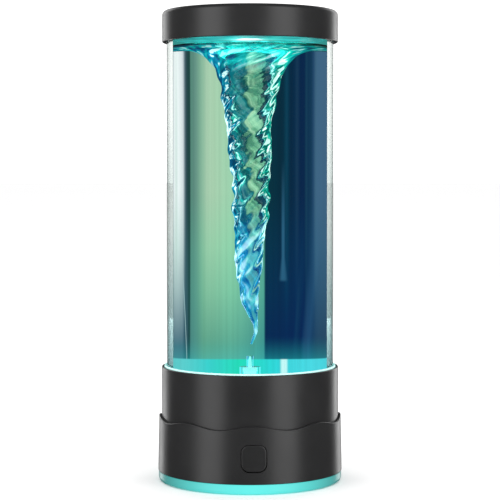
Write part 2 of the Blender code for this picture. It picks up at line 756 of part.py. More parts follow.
def build_skirt():
    """Lower housing: turned, then its rim is drawn into a wave, with openings for button and socket."""
    fillet_r = SKIRT_RIM_FILLET
    profile = [(skirt_inner_r, skirt_low)]
    profile += fillet(
        skirt_foot_r - SKIRT_FOOT_FILLET, skirt_low + SKIRT_FOOT_FILLET, SKIRT_FOOT_FILLET, -pi / 2, 0, 2
    )
    profile += fillet(skirt_rim_outer_r - fillet_r, skirt_rim - fillet_r, fillet_r, 0, pi / 2, 2)
    profile += [
        (skirt_rim_inner_r, skirt_rim),
        (skirt_rim_inner_r, skirt_ledge),
        (skirt_inner_r, skirt_ledge),
    ]
    made = turned(profile, WAVE_SIDES)
    for vertex in made.verts:
        if vertex.co.z > skirt_rim - 2 * fillet_r:
            bearing = Vector((0, -1)).angle_signed(Vector((vertex.co.x, vertex.co.y)))
            vertex.co.z += WAVE_HEIGHT * cos(WAVE_COUNT * bearing)
    skirt = piece("base_skirt", made, BLACK_PLASTIC, 0.42)

    openings = bmesh.new()
    hole_width = BUTTON_WIDTH + 2 * SEAT_GAP
    hole_tall = BUTTON_TALL + 2 * SEAT_GAP
    hole = round_box(hole_width, hole_tall, BUTTON_CORNER_R + SEAT_GAP, BUTTON_CORNER_STEPS)
    port = round_box(USB_PORT_WIDTH, USB_PORT_TALL, USB_PORT_CORNER_R, USB_CORNER_STEPS)
    for outline, height, way in ((hole, BUTTON_HEIGHT, -1), (port, usb_height(), 1)):
        reach = (skirt_inner_r - SKIRT_OPENING_REACH, skirt_foot_r + CUT_OVERRUN)
        lofted([[(x, way * distance, height + up) for x, up in outline] for distance in reach], openings)
    combine(skirt, tool("skirt_openings", openings), "DIFFERENCE")


def build_light_ring():
    """Clouded ring with a flange that the bottom plate clamps."""
    flange_low = plate_high + SEAT_GAP
    tuck = [
        (
            ring_outer_r - RING_TUCK * (1 - sin(pi / 2 * step / RING_TUCK_STEPS)),
            plate_low + RING_TUCK_HEIGHT * step / RING_TUCK_STEPS,
        )
        for step in range(RING_TUCK_STEPS + 1)
    ]
    profile = [(ring_inner_r, plate_low)] + tuck
    profile += [
        (ring_outer_r, ring_high),
        (ring_flange_r, ring_high),
        (ring_flange_r, flange_low),
        (ring_inner_r, flange_low),
    ]
    piece("light_ring", turned(profile, FINE_SIDES), CYAN_GUIDE, 0.3)


def build_bottom_plate():
    """Moulded plate with counterbores, foot recesses, board posts and the switch board's slotted cheeks."""
    profile = [
        (0, plate_low),
        (plate_r - PLATE_EDGE_CHAMFER, plate_low),
        (plate_r, plate_low + PLATE_EDGE_CHAMFER),
        (plate_r, plate_high),
        (0, plate_high),
    ]
    plate = piece("bottom_plate", turned(profile, WALL_SIDES), DARK_PLASTIC, 0.5)

    raised = bmesh.new()
    root = plate_high - JOIN_OVERLAP
    for x, y in control_posts():
        drum(raised, x, y, CONTROL_POST_R, root, control_low - SEAT_GAP)
    front, back = switch_board_span()
    for side in (1, -1):
        edge = side * (SWITCH_BOARD_WIDTH / 2 + SEAT_GAP)
        across = sorted((edge + side * SLOT_CHEEK, edge - side * SLOT_BITE))
        cheek = (front - SEAT_GAP - SLOT_CHEEK, back + SEAT_GAP + SLOT_CHEEK)
        block(raised, across, cheek, (root, plate_high + SLOT_TALL))
    combine(plate, tool("plate_raised", raised), "UNION")

    cuts = bmesh.new()
    low = plate_low - CUT_OVERRUN
    for x, y, _ in post_places():
        drum(cuts, x, y, BASE_SCREW[0] + SEAT_GAP, low, plate_low + SCREW_RELIEF + SEAT_GAP)
        drum(cuts, x, y, BASE_SCREW[2] + SEAT_GAP, low, plate_high + CUT_OVERRUN, SCREW_SIDES)
    for x, y, _ in around(FOOT_COUNT, foot_circle_r):
        drum(cuts, x, y, FOOT_R + SEAT_GAP, low, FOOT_THICK + SEAT_GAP, INNER_SIDES)
    for x, y in control_posts():
        low = control_low - BOARD_SCREW[3]
        drum(cuts, x, y, BOARD_SCREW[2] + SEAT_GAP, low, control_low + CUT_OVERRUN, SCREW_SIDES)
    slot_half = SWITCH_BOARD_WIDTH / 2 + SEAT_GAP
    block(
        cuts,
        (-slot_half, slot_half),
        (front - SEAT_GAP, back + SEAT_GAP),
        (plate_high + SEAT_GAP, plate_high + SLOT_TALL + CUT_OVERRUN),
    )
    combine(plate, tool("plate_cuts", cuts), "DIFFERENCE")


def build_feet():
    """Rubber feet stuck in the plate's recesses."""
    for number, (x, y, _) in enumerate(around(FOOT_COUNT, foot_circle_r)):
        profile = [
            (0, 0),
            (FOOT_R - FOOT_CHAMFER, 0),
            (FOOT_R, FOOT_CHAMFER),
            (FOOT_R, FOOT_THICK),
            (0, FOOT_THICK),
        ]
        made = turned(profile, INNER_SIDES)
        bmesh.ops.translate(made, verts=made.verts, vec=(x, y, 0))
        piece(f"foot_{number + 1}", made, GREY_RUBBER, 0.85)


def build_screws():
    """Every screw of the base."""
    for number, (x, y, _) in enumerate(post_places()):
        screw(f"base_screw_{number + 1}", BASE_SCREW, x, y, plate_low + SCREW_RELIEF, True)
    for number, (x, y, _) in enumerate(around(BRACKET_SCREW_COUNT, BRACKET_SCREW_CIRCLE_R, pi / 2)):
        screw(f"bracket_screw_{number + 1}", BRACKET_SCREW, x, y, bracket_low - SEAT_GAP, True)
    for number, side in enumerate((1, -1)):
        seat = bracket_high - MOTOR_SCREW[1] - SEAT_GAP
        screw(f"motor_screw_{number + 1}", MOTOR_SCREW, side * MOTOR_SCREW_OFFSET, 0, seat, False)
    for number, (x, y) in enumerate(control_posts()):
        screw(f"board_screw_{number + 1}", BOARD_SCREW, x, y, control_high + SEAT_GAP, False)


def build_led_boards():
    """Two ring-shaped boards: one shines up through the tank floor, one down into the light ring."""
    low = deck_high + SEAT_GAP
    profile = [
        (DECK_HOLE_R, low),
        (led_board_r, low),
        (led_board_r, low + BOARD_THICK),
        (DECK_HOLE_R, low + BOARD_THICK),
    ]
    board = piece("tank_led_board", turned(profile, WALL_SIDES), BOARD_WHITE, 0.5)
    leds = bmesh.new()
    radial = (led_circle_r - LED_SIDE / 2, led_circle_r + LED_SIDE / 2)
    level = (low + BOARD_THICK - JOIN_OVERLAP, low + BOARD_THICK + LED_HEIGHT)
    for _, _, turn in around(TANK_LED_COUNT, led_circle_r, pi / TANK_LED_COUNT):
        block(leds, radial, (-LED_SIDE / 2, LED_SIDE / 2), level, turn)
    combine(board, tool("tank_leds", leds), "UNION")

    outer_r = skirt_inner_r - SEAT_GAP
    inner_r = outer_r - RING_BOARD_BAND
    low = skirt_low + RING_LED_HEIGHT
    profile = [
        (inner_r, low),
        (outer_r, low),
        (outer_r, low + RING_BOARD_THICK),
        (inner_r, low + RING_BOARD_THICK),
    ]
    board = piece("ring_led_board", turned(profile, WALL_SIDES), BOARD_WHITE, 0.5)
    leds = bmesh.new()
    middle = (inner_r + outer_r) / 2
    radial = (middle - RING_LED_SIDE / 2, middle + RING_LED_SIDE / 2)
    for _, _, turn in around(RING_LED_COUNT, middle, pi / RING_LED_COUNT):
        block(leds, radial, (-RING_LED_SIDE / 2, RING_LED_SIDE / 2), (skirt_low, low + JOIN_OVERLAP), turn)
    combine(board, tool("ring_leds", leds), "UNION")


def build_drive():
    """Motor, shaft, magnet carrier and the bracket that hangs the motor under the deck."""
    bore_r = SHAFT_R + SHAFT_GAP
    boss_high = motor_high + MOTOR_BOSS_HEIGHT
    bore_low = motor_high - SHAFT_BORE_DEPTH
    profile = [
        (0, motor_low - MOTOR_TAIL_HEIGHT),
        (MOTOR_TAIL_R, motor_low - MOTOR_TAIL_HEIGHT),
        (MOTOR_TAIL_R, motor_low),
        (MOTOR_R, motor_low),
        (MOTOR_R, motor_high - MOTOR_EDGE),
        (MOTOR_R - MOTOR_EDGE, motor_high),
        (MOTOR_BOSS_R, motor_high),
        (MOTOR_BOSS_R, boss_high),
        (bore_r, boss_high),
        (bore_r, bore_low),
        (0, bore_low),
    ]
    motor = piece("motor", turned(profile, INNER_SIDES), STEEL, 0.35, 1.0)
    tabs = bmesh.new()
    width, thick, length = MOTOR_TAB
    for side in (1, -1):
        middle = side * MOTOR_TAB_OFFSET
        span = (middle - thick / 2, middle + thick / 2)
        block(tabs, (-width / 2, width / 2), span, (motor_low - length, motor_low + JOIN_OVERLAP))
    combine(motor, tool("motor_tabs", tabs), "UNION")
    holes = bmesh.new()
    screw_low = bracket_high - MOTOR_SCREW[1] - SEAT_GAP - MOTOR_SCREW[3] - SEAT_GAP
    for side in (1, -1):
        x = side * MOTOR_SCREW_OFFSET
        drum(holes, x, 0, MOTOR_SCREW[2] + SEAT_GAP, screw_low, motor_high + CUT_OVERRUN, SCREW_SIDES)
    combine(motor, tool("motor_holes", holes), "DIFFERENCE")

    shaft_high = carrier_high - SHAFT_SHORT
    made = bmesh.new()
    drum(made, 0, 0, SHAFT_R, bore_low + SEAT_GAP, shaft_high)
    piece("motor_shaft", made, STEEL, 0.2, 1.0)

    fit_r = SHAFT_R + SEAT_GAP
    profile = [
        (fit_r, carrier_low),
        (CARRIER_R - CARRIER_EDGE, carrier_low),
        (CARRIER_R, carrier_low + CARRIER_EDGE),
        (CARRIER_R, carrier_high - CARRIER_EDGE),
        (CARRIER_R - CARRIER_EDGE, carrier_high),
        (fit_r, carrier_high),
    ]
    carrier = piece("magnet_carrier", turned(profile, INNER_SIDES), WHITE_PLASTIC, 0.45)
    pockets = bmesh.new()
    pocket_low = carrier_high - DRIVE_MAGNET_THICK - 2 * SEAT_GAP
    for x, y, _ in around(MAGNET_COUNT, MAGNET_CIRCLE_R):
        drum(pockets, x, y, MAGNET_R + SEAT_GAP, pocket_low, carrier_high + CUT_OVERRUN)
    combine(carrier, tool("carrier_pockets", pockets), "DIFFERENCE")

    hole_r = MOTOR_BOSS_R + SEAT_GAP
    profile = [
        (hole_r, bracket_low),
        (BRACKET_R, bracket_low),
        (BRACKET_R, bracket_high),
        (hole_r, bracket_high),
    ]
    bracket = piece("motor_bracket", turned(profile, WALL_SIDES), DARK_PLASTIC, 0.5)
    holes = bmesh.new()
    low = bracket_low - CUT_OVERRUN
    high = bracket_high + CUT_OVERRUN
    for x, y, _ in around(BRACKET_SCREW_COUNT, BRACKET_SCREW_CIRCLE_R, pi / 2):
        drum(holes, x, y, BRACKET_SCREW[2] + SEAT_GAP, low, high, SCREW_SIDES)
    for side in (1, -1):
        x = side * MOTOR_SCREW_OFFSET
        seat = bracket_high - MOTOR_SCREW[1] - 2 * SEAT_GAP
        drum(holes, x, 0, MOTOR_SCREW[2] + SEAT_GAP, low, high, SCREW_SIDES)
        drum(holes, x, 0, MOTOR_SCREW[0] + SEAT_GAP, seat, high)
    combine(bracket, tool("bracket_holes", holes), "DIFFERENCE")


def button_back():
    """Where the button's flange begins: behind the skirt's inner wall at the flange's sides."""
    half = BUTTON_WIDTH / 2 + BUTTON_FLANGE
    return sqrt(skirt_inner_r**2 - half**2) - SEAT_GAP


def stem_end():
    return button_back() - BUTTON_FLANGE_THICK - BUTTON_STEM_LENGTH


def switch_board_span():
    """The switch board's front and back, as y."""
    switch_front = stem_end() - SEAT_GAP - PLUNGER_FRONT
    front = -(switch_front - SWITCH_DEPTH - SEAT_GAP)
    return front, front + BOARD_THICK


def build_button():
    """Button with a face that follows the skirt, a flange that keeps it in, and a stem."""
    face_r = skirt_face_r(BUTTON_HEIGHT) - BUTTON_RECESS

    def outline(margin, corner_r=BUTTON_CORNER_R):
        return round_box(
            BUTTON_WIDTH + 2 * margin, BUTTON_TALL + 2 * margin, corner_r + margin, BUTTON_CORNER_STEPS
        )

    def on_face(points, depth):
        radius = face_r - depth
        return [(x, -sqrt(radius**2 - x**2), BUTTON_HEIGHT + up) for x, up in points]

    def flat(points, distance):
        return [(x, -distance, BUTTON_HEIGHT + up) for x, up in points]

    edge = outline(-BUTTON_EDGE)
    back = button_back()
    stem = []
    for x, up in outline(0):
        reach = sqrt(x**2 + up**2)
        stem.append((x / reach * BUTTON_STEM_R, up / reach * BUTTON_STEM_R))
    inner = [[(x * share, up * share) for x, up in edge] for share in reversed(BUTTON_FACE_SHARES)]
    loops = [on_face(points, 0) for points in inner]
    loops += [
        on_face(edge, 0),
        on_face(outline(0), BUTTON_EDGE),
        flat(outline(0), back),
        flat(outline(BUTTON_FLANGE), back),
        flat(outline(BUTTON_FLANGE), back - BUTTON_FLANGE_THICK),
        flat(stem, back - BUTTON_FLANGE_THICK),
        flat(stem, stem_end()),
    ]
    piece("power_button", lofted(loops), BLACK_PLASTIC, 0.38)


def build_switch():
    """Upright board with the tact switch and its plunger in line with the button's stem."""
    front, back = switch_board_span()
    half = SWITCH_BOARD_WIDTH / 2
    made = bmesh.new()
    high = BUTTON_HEIGHT + SWITCH_BOARD_MARGIN
    block(made, (-half, half), (front, back), (plate_high + 2 * SEAT_GAP, high))
    piece("switch_board", made, BOARD_GREEN, 0.45)

    switch_back = front - SEAT_GAP
    switch_front = switch_back - SWITCH_DEPTH
    half = SWITCH_SIDE / 2
    made = bmesh.new()
    height = (BUTTON_HEIGHT - half, BUTTON_HEIGHT + half)
    block(made, (-half, half), (switch_front, switch_back), height)
    switch = piece("tact_switch", made, DARK_PLASTIC, 0.5)
    plunger_front = switch_front - PLUNGER_FRONT
    plunger_back = plunger_front + PLUNGER_LENGTH
    lying = Matrix.Translation((0, 0, BUTTON_HEIGHT)) @ Matrix.Rotation(pi / 2, 4, "X")

    bore = bmesh.new()
    bore_back = plunger_back + BUTTON_TRAVEL + SEAT_GAP
    drum(bore, 0, 0, PLUNGER_R + SEAT_GAP, -bore_back, -(switch_front - CUT_OVERRUN))
    bmesh.ops.transform(bore, matrix=lying, verts=bore.verts)
    combine(switch, tool("switch_bore", bore), "DIFFERENCE")

    made = bmesh.new()
    drum(made, 0, 0, PLUNGER_R, -plunger_back, -plunger_front)
    bmesh.ops.transform(made, matrix=lying, verts=made.verts)
    piece("switch_plunger", made, WHITE_PLASTIC, 0.4)


def usb_height():
    """Height of the socket's middle: it stands on the control board."""
    return control_high + SEAT_GAP + USB_TALL / 2


def usb_face():
    """The socket's open end, as y: set back behind the skirt's inner wall."""
    return sqrt(skirt_inner_r**2 - (USB_WIDTH / 2) ** 2) - USB_SETBACK


def control_back():
    return usb_face() - USB_OVERHANG


def control_posts():
    """Places of the four board posts."""
    x = CONTROL_WIDTH / 2 - CONTROL_POST_INSET
    near = control_back() - CONTROL_LENGTH + CONTROL_POST_INSET
    far = control_back() - CONTROL_POST_FROM_BACK
    return [(x, near), (-x, near), (x, far), (-x, far)]


def build_control():
    """Control board with its chip and capacitor, and the USB socket on its rear edge."""
    half = CONTROL_WIDTH / 2
    back = control_back()
    made = bmesh.new()
    block(made, (-half, half), (back - CONTROL_LENGTH, back), (control_low, control_high))
    board = piece("control_board", made, BOARD_GREEN, 0.45)
    fitted = bmesh.new()
    middle = back - CHIP_FROM_BACK
    root = control_high - JOIN_OVERLAP
    block(
        fitted,
        (-CHIP[0] / 2, CHIP[0] / 2),
        (middle - CHIP[1] / 2, middle + CHIP[1] / 2),
        (root, control_high + CHIP[2]),
    )
    drum(fitted, CHIP[0] + CAPACITOR_R, middle, CAPACITOR_R, root, control_high + CAPACITOR_HEIGHT)
    combine(board, tool("board_parts", fitted), "UNION")
    holes = bmesh.new()
    for x, y in control_posts():
        low = control_low - CUT_OVERRUN
        high = control_high + CUT_OVERRUN
        drum(holes, x, y, BOARD_SCREW[2] + SEAT_GAP, low, high, SCREW_SIDES)
    combine(board, tool("board_holes", holes), "DIFFERENCE")

    outer = round_box(USB_WIDTH, USB_TALL, USB_TALL / 2, USB_CORNER_STEPS)
    inner = round_box(
        USB_WIDTH - 2 * USB_WALL, USB_TALL - 2 * USB_WALL, USB_TALL / 2 - USB_WALL, USB_CORNER_STEPS
    )
    face = usb_face()
    stages = (
        (outer, face - USB_DEPTH),
        (outer, face),
        (inner, face),
        (inner, face - USB_DEPTH + USB_FLOOR),
    )
    loops = [[(x, y, usb_height() + up) for x, up in points] for points, y in stages]
    socket = piece("usb_socket", lofted(loops), STEEL, 0.3, 1.0)
    tongue = bmesh.new()
    width, length, thick = USB_TONGUE
    floor_y = face - USB_DEPTH + USB_FLOOR
    level = (usb_height() - thick / 2, usb_height() + thick / 2)
    block(tongue, (-width / 2, width / 2), (floor_y - JOIN_OVERLAP, floor_y + length), level)
    combine(socket, tool("usb_tongue", tongue), "UNION")


for old in list(bpy.data.objects):
    bpy.data.objects.remove(old)

build_cap()
build_tube()
build_tank_foot()
build_impeller()
build_magnets()
build_water()
build_collar()
build_skirt()
build_light_ring()
build_bottom_plate()
build_feet()
build_screws()
build_led_boards()
build_drive()
build_button()
build_switch()
build_control()
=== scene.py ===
"""Looks of the tornado lamp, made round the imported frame. Metres, +Z up, with the button towards -Y."""

from math import cos, pi, radians, sin, sqrt, tan

import bmesh
import bpy
from mathutils import Matrix, Vector


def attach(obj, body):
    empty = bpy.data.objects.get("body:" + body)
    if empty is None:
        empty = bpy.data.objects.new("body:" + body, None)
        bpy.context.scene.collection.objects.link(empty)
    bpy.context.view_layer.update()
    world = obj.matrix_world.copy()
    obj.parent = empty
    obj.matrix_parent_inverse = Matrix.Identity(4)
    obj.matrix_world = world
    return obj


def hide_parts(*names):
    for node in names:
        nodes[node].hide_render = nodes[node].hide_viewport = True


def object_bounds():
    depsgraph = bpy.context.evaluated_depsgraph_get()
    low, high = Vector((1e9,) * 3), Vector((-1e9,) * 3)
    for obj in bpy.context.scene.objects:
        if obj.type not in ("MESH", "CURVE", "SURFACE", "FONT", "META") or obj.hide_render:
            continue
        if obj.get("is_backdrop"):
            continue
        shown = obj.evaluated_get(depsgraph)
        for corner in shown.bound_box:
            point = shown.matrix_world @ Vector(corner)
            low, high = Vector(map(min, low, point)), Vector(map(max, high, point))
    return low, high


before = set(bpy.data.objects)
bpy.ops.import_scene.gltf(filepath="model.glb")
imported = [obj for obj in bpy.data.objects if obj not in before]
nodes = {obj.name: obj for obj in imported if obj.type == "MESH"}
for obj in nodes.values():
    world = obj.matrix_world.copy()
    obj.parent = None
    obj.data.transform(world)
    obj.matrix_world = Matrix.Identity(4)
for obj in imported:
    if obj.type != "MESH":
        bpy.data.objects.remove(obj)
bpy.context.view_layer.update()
MM = 0.001


# Bottom plate: a moulded disc of dark plastic with posts for the boards, clamped on from below.
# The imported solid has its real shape, so it stays and takes a finely grained plastic.
def feed(node, inputs):
    """Sets a node's inputs, given as values or as what the node tree works out."""
    for name, value in inputs.items():
        given = getattr(value, "socket", value)
        if isinstance(given, bpy.types.NodeSocket):
            node.id_data.links.new(given, node.inputs[name])
        else:
            node.inputs[name].default_value = given


def add(tree, kind, inputs=None, **settings):
    """Adds a node with its settings and its inputs."""
    made = tree.nodes.new(kind)
    for name, value in settings.items():
        setattr(made, name, value)
    feed(made, inputs or {})
    return made


class Reading:
    """A number, colour or place that a node tree works out. Sums written on numbers become Math nodes."""

    def __init__(self, socket):
        self.socket = socket
        self.tree = socket.id_data

    def __add__(self, other):
        return sums(self.tree, "ADD", self, other)

    def __sub__(self, other):
        return sums(self.tree, "SUBTRACT", self, other)

    def __rsub__(self, other):
        return sums(self.tree, "SUBTRACT", other, self)

    def __mul__(self, other):
        return sums(self.tree, "MULTIPLY", self, other)

    def __truediv__(self, other):
        return sums(self.tree, "DIVIDE", self, other)

    def __pow__(self, other):
        return sums(self.tree, "POWER", self, other)

    def __rpow__(self, other):
        return sums(self.tree, "POWER", other, self)

    def __gt__(self, other):
        return sums(self.tree, "GREATER_THAN", self, other)

    def __abs__(self):
        return sums(self.tree, "ABSOLUTE", self)

    def cosine(self):
        return sums(self.tree, "COSINE", self)

    def sine(self):
        return sums(self.tree, "SINE", self)

    def at_most(self, other):
        return sums(self.tree, "MINIMUM", self, other)

    def at_least(self, other):
        return sums(self.tree, "MAXIMUM", self, other)


def sums(tree, operation, *values):
    """A Math node's result."""
    return Reading(add(tree, "ShaderNodeMath", dict(enumerate(values)), operation=operation).outputs[0])


def spread(value, low, high, to_low, to_high):
    """A Map Range node's result."""
    inputs = {"Value": value, "From Min": low, "From Max": high, "To Min": to_low, "To Max": to_high}
    return Reading(add(value.tree, "ShaderNodeMapRange", inputs).outputs["Result"])


def ramp(factor, stops):
    """A colour ramp's result. A stop is its position and its colour."""
    made = add(factor.tree, "ShaderNodeValToRGB", {"Fac": factor})
    points = made.color_ramp.elements
    points.remove(points[1])
    points[0].position = stops[0][0]
    points[0].color = (*stops[0][1], 1)
    for position, colour in stops[1:]:
        points.new(position).color = (*colour, 1)
    return Reading(made.outputs["Color"])


def noise(place, scale, detail=2.0):
    """A noise texture's result."""
    made = add(place.tree, "ShaderNodeTexNoise", {"Vector": place, "Scale": scale, "Detail": detail})
    return Reading(made.outputs["Fac"])


def finish_of(name):
    """A new material, with its tree, its Principled shader and the place on the piece."""
    made = bpy.data.materials.new(name)
    made.use_nodes = True
    tree = made.node_tree
    place = Reading(add(tree, "ShaderNodeTexCoord").outputs["Object"])
    return made, tree, tree.nodes["Principled BSDF"], place


def moulded(name, colour, roughness, grain, depth):
    """Moulded plastic or rubber: a fine eroded grain, and a faint drift in its colour and gloss."""
    made, tree, shader, place = finish_of(name)
    grained = {"Height": noise(place, grain, 3.0), "Strength": 0.35, "Distance": depth}
    drift = noise(place, 38.0)
    darker = [share * 0.9 for share in colour]
    lighter = [share * 1.1 for share in colour]
    looks = {
        "Base Color": ramp(drift, ((0.3, darker), (0.7, lighter))),
        "Roughness": spread(drift, 0.3, 0.7, roughness - 0.03, roughness + 0.03),
        "Normal": add(tree, "ShaderNodeBump", grained).outputs[0],
    }
    feed(shader, looks)
    return made


def wear(piece, *finishes):
    """Gives a piece its materials, one for each slot."""
    piece.data.materials.clear()
    for finish in finishes:
        piece.data.materials.append(finish)


dark_plastic = moulded("dark moulded plastic", (0.020, 0.020, 0.022), 0.55, 1400.0, 0.00006)
for name in ("bottom_plate", "motor_bracket", "tact_switch"):
    wear(nodes[name], dark_plastic)


# Rubber feet: four moulded discs stuck in the plate's recesses. Each has a soft edge and two ringed
# treads on the face it stands on.
LATHE_SIDES = 144
SHARP = 32
FOOT_CIRCLE_R = 44.0 * MM
FOOT_R = 6.0 * MM
FOOT_HIGH = 2.0 * MM
GROOVE = 0.25 * MM


def shown(name, made, sharp=SHARP):
    """Puts a bmesh on show as a smooth-shaded object with its sharp edges kept."""
    mesh = bpy.data.meshes.new(name)
    made.to_mesh(mesh)
    made.free()
    mesh.shade_smooth()
    mesh.set_sharp_from_angle(angle=radians(sharp))
    piece = bpy.data.objects.new(name, mesh)
    bpy.context.scene.collection.objects.link(piece)
    return piece


def settle(piece):
    """Turns what the modifiers make into the piece's own mesh."""
    seen = piece.evaluated_get(bpy.context.evaluated_depsgraph_get())
    piece.data = bpy.data.meshes.new_from_object(seen)
    piece.modifiers.clear()
    piece.data.shade_smooth()
    piece.data.set_sharp_from_angle(angle=radians(SHARP))


def lathe(name, corners, sides=LATHE_SIDES, steps=5, sharp=SHARP):
    """Turns an outline about the lamp's axis. A corner is its radius, its height and its rounding."""
    hold = 0.15
    outline = []
    for place, (radius, height, ease) in enumerate(corners):
        here = Vector((radius, height))
        if ease == 0:
            outline.append(here)
            continue
        before = (Vector(corners[place - 1][:2]) - here).normalized()
        after = (Vector(corners[(place + 1) % len(corners)][:2]) - here).normalized()
        half = before.angle(after) / 2
        centre = here + (before + after).normalized() * ease / sin(half)
        start = here + before * ease / tan(half) - centre
        end = here + after * ease / tan(half) - centre
        outline.append(centre + start + before * ease * hold)
        outline += [centre + start.lerp(end, step / steps).normalized() * ease for step in range(steps + 1)]
        outline.append(centre + end + after * ease * hold)
    made = bmesh.new()
    turns = [2 * pi * side / sides for side in range(sides)]
    rings = []
    for radius, height in outline:
        if radius == 0:
            rings.append([made.verts.new((0, 0, height))] * sides)
        else:
            rings.append([made.verts.new((radius * cos(turn), radius * sin(turn), height)) for turn in turns])
    if outline[0].x > 0:
        rings.append(rings[0])
    for near, far in zip(rings, rings[1:]):
        for side in range(sides):
            after = (side + 1) % sides
            made.faces.new(tuple(dict.fromkeys((near[side], near[after], far[after], far[side]))))
    bmesh.ops.recalc_face_normals(made, faces=made.faces)
    return shown(name, made, sharp)


def rule(name, sizes, takes_mesh=True):
    """A Geometry Nodes tree with named sizes. Gives the sizes to read, and their values for a modifier."""
    tree = bpy.data.node_groups.new(name, "GeometryNodeTree")
    if takes_mesh:
        tree.interface.new_socket("Geometry", in_out="INPUT", socket_type="NodeSocketGeometry")
    values = {}
    for label, value in sizes.items():
        kind = "NodeSocketInt" if isinstance(value, int) else "NodeSocketFloat"
        socket = tree.interface.new_socket(label, in_out="INPUT", socket_type=kind)
        values[socket.identifier] = value
    tree.interface.new_socket("Geometry", in_out="OUTPUT", socket_type="NodeSocketGeometry")
    given = {socket.name: Reading(socket) for socket in add(tree, "NodeGroupInput").outputs}
    return tree, given, values


def follow(piece, tree, values, result, finish):
    """Ends a rule in real mesh with its finish, runs it on a piece, and keeps what it makes."""
    real = add(tree, "GeometryNodeRealizeInstances", {"Geometry": result}).outputs[0]
    worn = add(tree, "GeometryNodeSetMaterial", {"Geometry": real, "Material": finish}).outputs[0]
    add(tree, "NodeGroupOutput", {0: worn})
    modifier = piece.modifiers.new(tree.name, "NODES")
    modifier.node_group = tree
    for identifier, value in values.items():
        modifier[identifier] = value
    settle(piece)
    bpy.data.node_groups.remove(tree)


def vector(tree, **parts):
    """A vector put together from numbers."""
    return Reading(add(tree, "ShaderNodeCombineXYZ", parts).outputs[0])


def set_out(piece, finish, count, radius, first=0.0):
    """Repeats a piece round the lamp's axis with Geometry Nodes."""
    sizes = {"Count": count, "Radius": radius, "First turn": first}
    tree, given, values = rule("set out on a circle", sizes)
    rim = add(tree, "GeometryNodeMeshCircle", {"Vertices": given["Count"], "Radius": given["Radius"]})
    number = Reading(add(tree, "GeometryNodeInputIndex").outputs[0])
    turned = vector(tree, Z=number * (2 * pi) / given["Count"])
    laid = {"Points": rim.outputs["Mesh"], "Instance": given["Geometry"], "Rotation": turned}
    laid = add(tree, "GeometryNodeInstanceOnPoints", laid).outputs[0]
    placed = {"Geometry": laid, "Rotation": vector(tree, Z=given["First turn"])}
    placed = add(tree, "GeometryNodeTransform", placed).outputs[0]
    follow(piece, tree, values, placed, finish)


grey_rubber = moulded("grey rubber", (0.075, 0.075, 0.078), 0.8, 900.0, 0.00010)
feet = lathe("rubber_feet", [
    (0, GROOVE, 0), (1.4 * MM, GROOVE, 0), (1.7 * MM, 0, 0.08 * MM), (2.9 * MM, 0, 0.08 * MM),
    (3.2 * MM, GROOVE, 0), (4.0 * MM, GROOVE, 0), (4.3 * MM, 0, 0.08 * MM), (FOOT_R, 0, 0.45 * MM),
    (FOOT_R, FOOT_HIGH, 0.1 * MM), (0, FOOT_HIGH, 0),
], 48, 3)
set_out(feet, grey_rubber, 4, FOOT_CIRCLE_R)
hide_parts("foot_1", "foot_2", "foot_3", "foot_4")
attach(feet, "base")


# Base screws: four pan heads of plated steel, sunk in the plate's recesses, that pull the plate, the
# light ring and the skirt up against the collar's posts. Each head has a cross recess.
POST_CIRCLE_R = 46.0 * MM
POST_PLACE = POST_CIRCLE_R / sqrt(2)
HEAD_R = 2.7 * MM
HEAD_LOW = 1.1 * MM
HEAD_HIGH = 2.4 * MM
THREAD_R = 1.4 * MM
CROSS = (0.7 * MM, 2.9 * MM, 1.6 * MM)


def cut(piece, made, operation="DIFFERENCE"):
    """Cuts a bmesh out of a piece, or joins it on."""
    bmesh.ops.recalc_face_normals(made, faces=made.faces)
    tool = shown("cutter", made)
    modifier = piece.modifiers.new("cut", "BOOLEAN")
    modifier.object = tool
    modifier.operation = operation
    modifier.solver = "EXACT"
    modifier.use_self = True
    settle(piece)
    bpy.data.objects.remove(tool)


def block(made, size, place):
    """Adds a box to a bmesh."""
    matrix = Matrix.Translation(place) @ Matrix.Diagonal((*size, 1))
    bmesh.ops.create_cube(made, size=1, matrix=matrix)


def plated(name, colour, roughness):
    """Plated or turned metal: fine turning marks in its gloss, and a little tarnish."""
    made, tree, shader, place = finish_of(name)
    dull = [share * 0.8 for share in colour]
    looks = {
        "Base Color": ramp(noise(place, 120.0), ((0.35, dull), (0.6, colour))),
        "Roughness": spread(noise(place, 700.0, 4.0), 0.3, 0.7, roughness - 0.08, roughness + 0.1),
        "Metallic": 1.0,
    }
    feed(shader, looks)
    return made


steel = plated("plated steel", (0.60, 0.60, 0.61), 0.33)
base_screws = lathe("base_screws", [
    (0, HEAD_LOW, 0), (1.6 * MM, 1.15 * MM, 0), (HEAD_R, 1.7 * MM, 0.4 * MM), (HEAD_R, HEAD_HIGH, 0),
    (THREAD_R, HEAD_HIGH, 0), (THREAD_R, 12.6 * MM, 0), (0, 14.4 * MM, 0),
], 32, 3)
cross = bmesh.new()
for size in (CROSS, (CROSS[1], CROSS[0], CROSS[2])):
    block(cross, size, (0, 0, HEAD_LOW))
cut(base_screws, cross)
set_out(base_screws, steel, 4, POST_CIRCLE_R, pi / 4)
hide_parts("base_screw_1", "base_screw_2", "base_screw_3", "base_screw_4")
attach(base_screws, "base")


# Light ring: one clouded moulding clamped between the plate and the skirt. The ring board's lamps shine
# down into it, and its glow is painted brightest at the front and back and dimmest at the sides, a painted
# shade.
SKIRT_FOOT_R = 60.9 * MM
RING_OUTER_R = 60.6 * MM
RING_HIGH = 6.4 * MM
RING_FOOT_BORE_R = 54.1 * MM
RING_BORE_R = 51.1 * MM
PLATE_LOW = 0.8 * MM
PLATE_HIGH = 3.8 * MM


def parts_of(place):
    """The three numbers of a place."""
    return add(place.tree, "ShaderNodeSeparateXYZ", {"Vector": place}).outputs


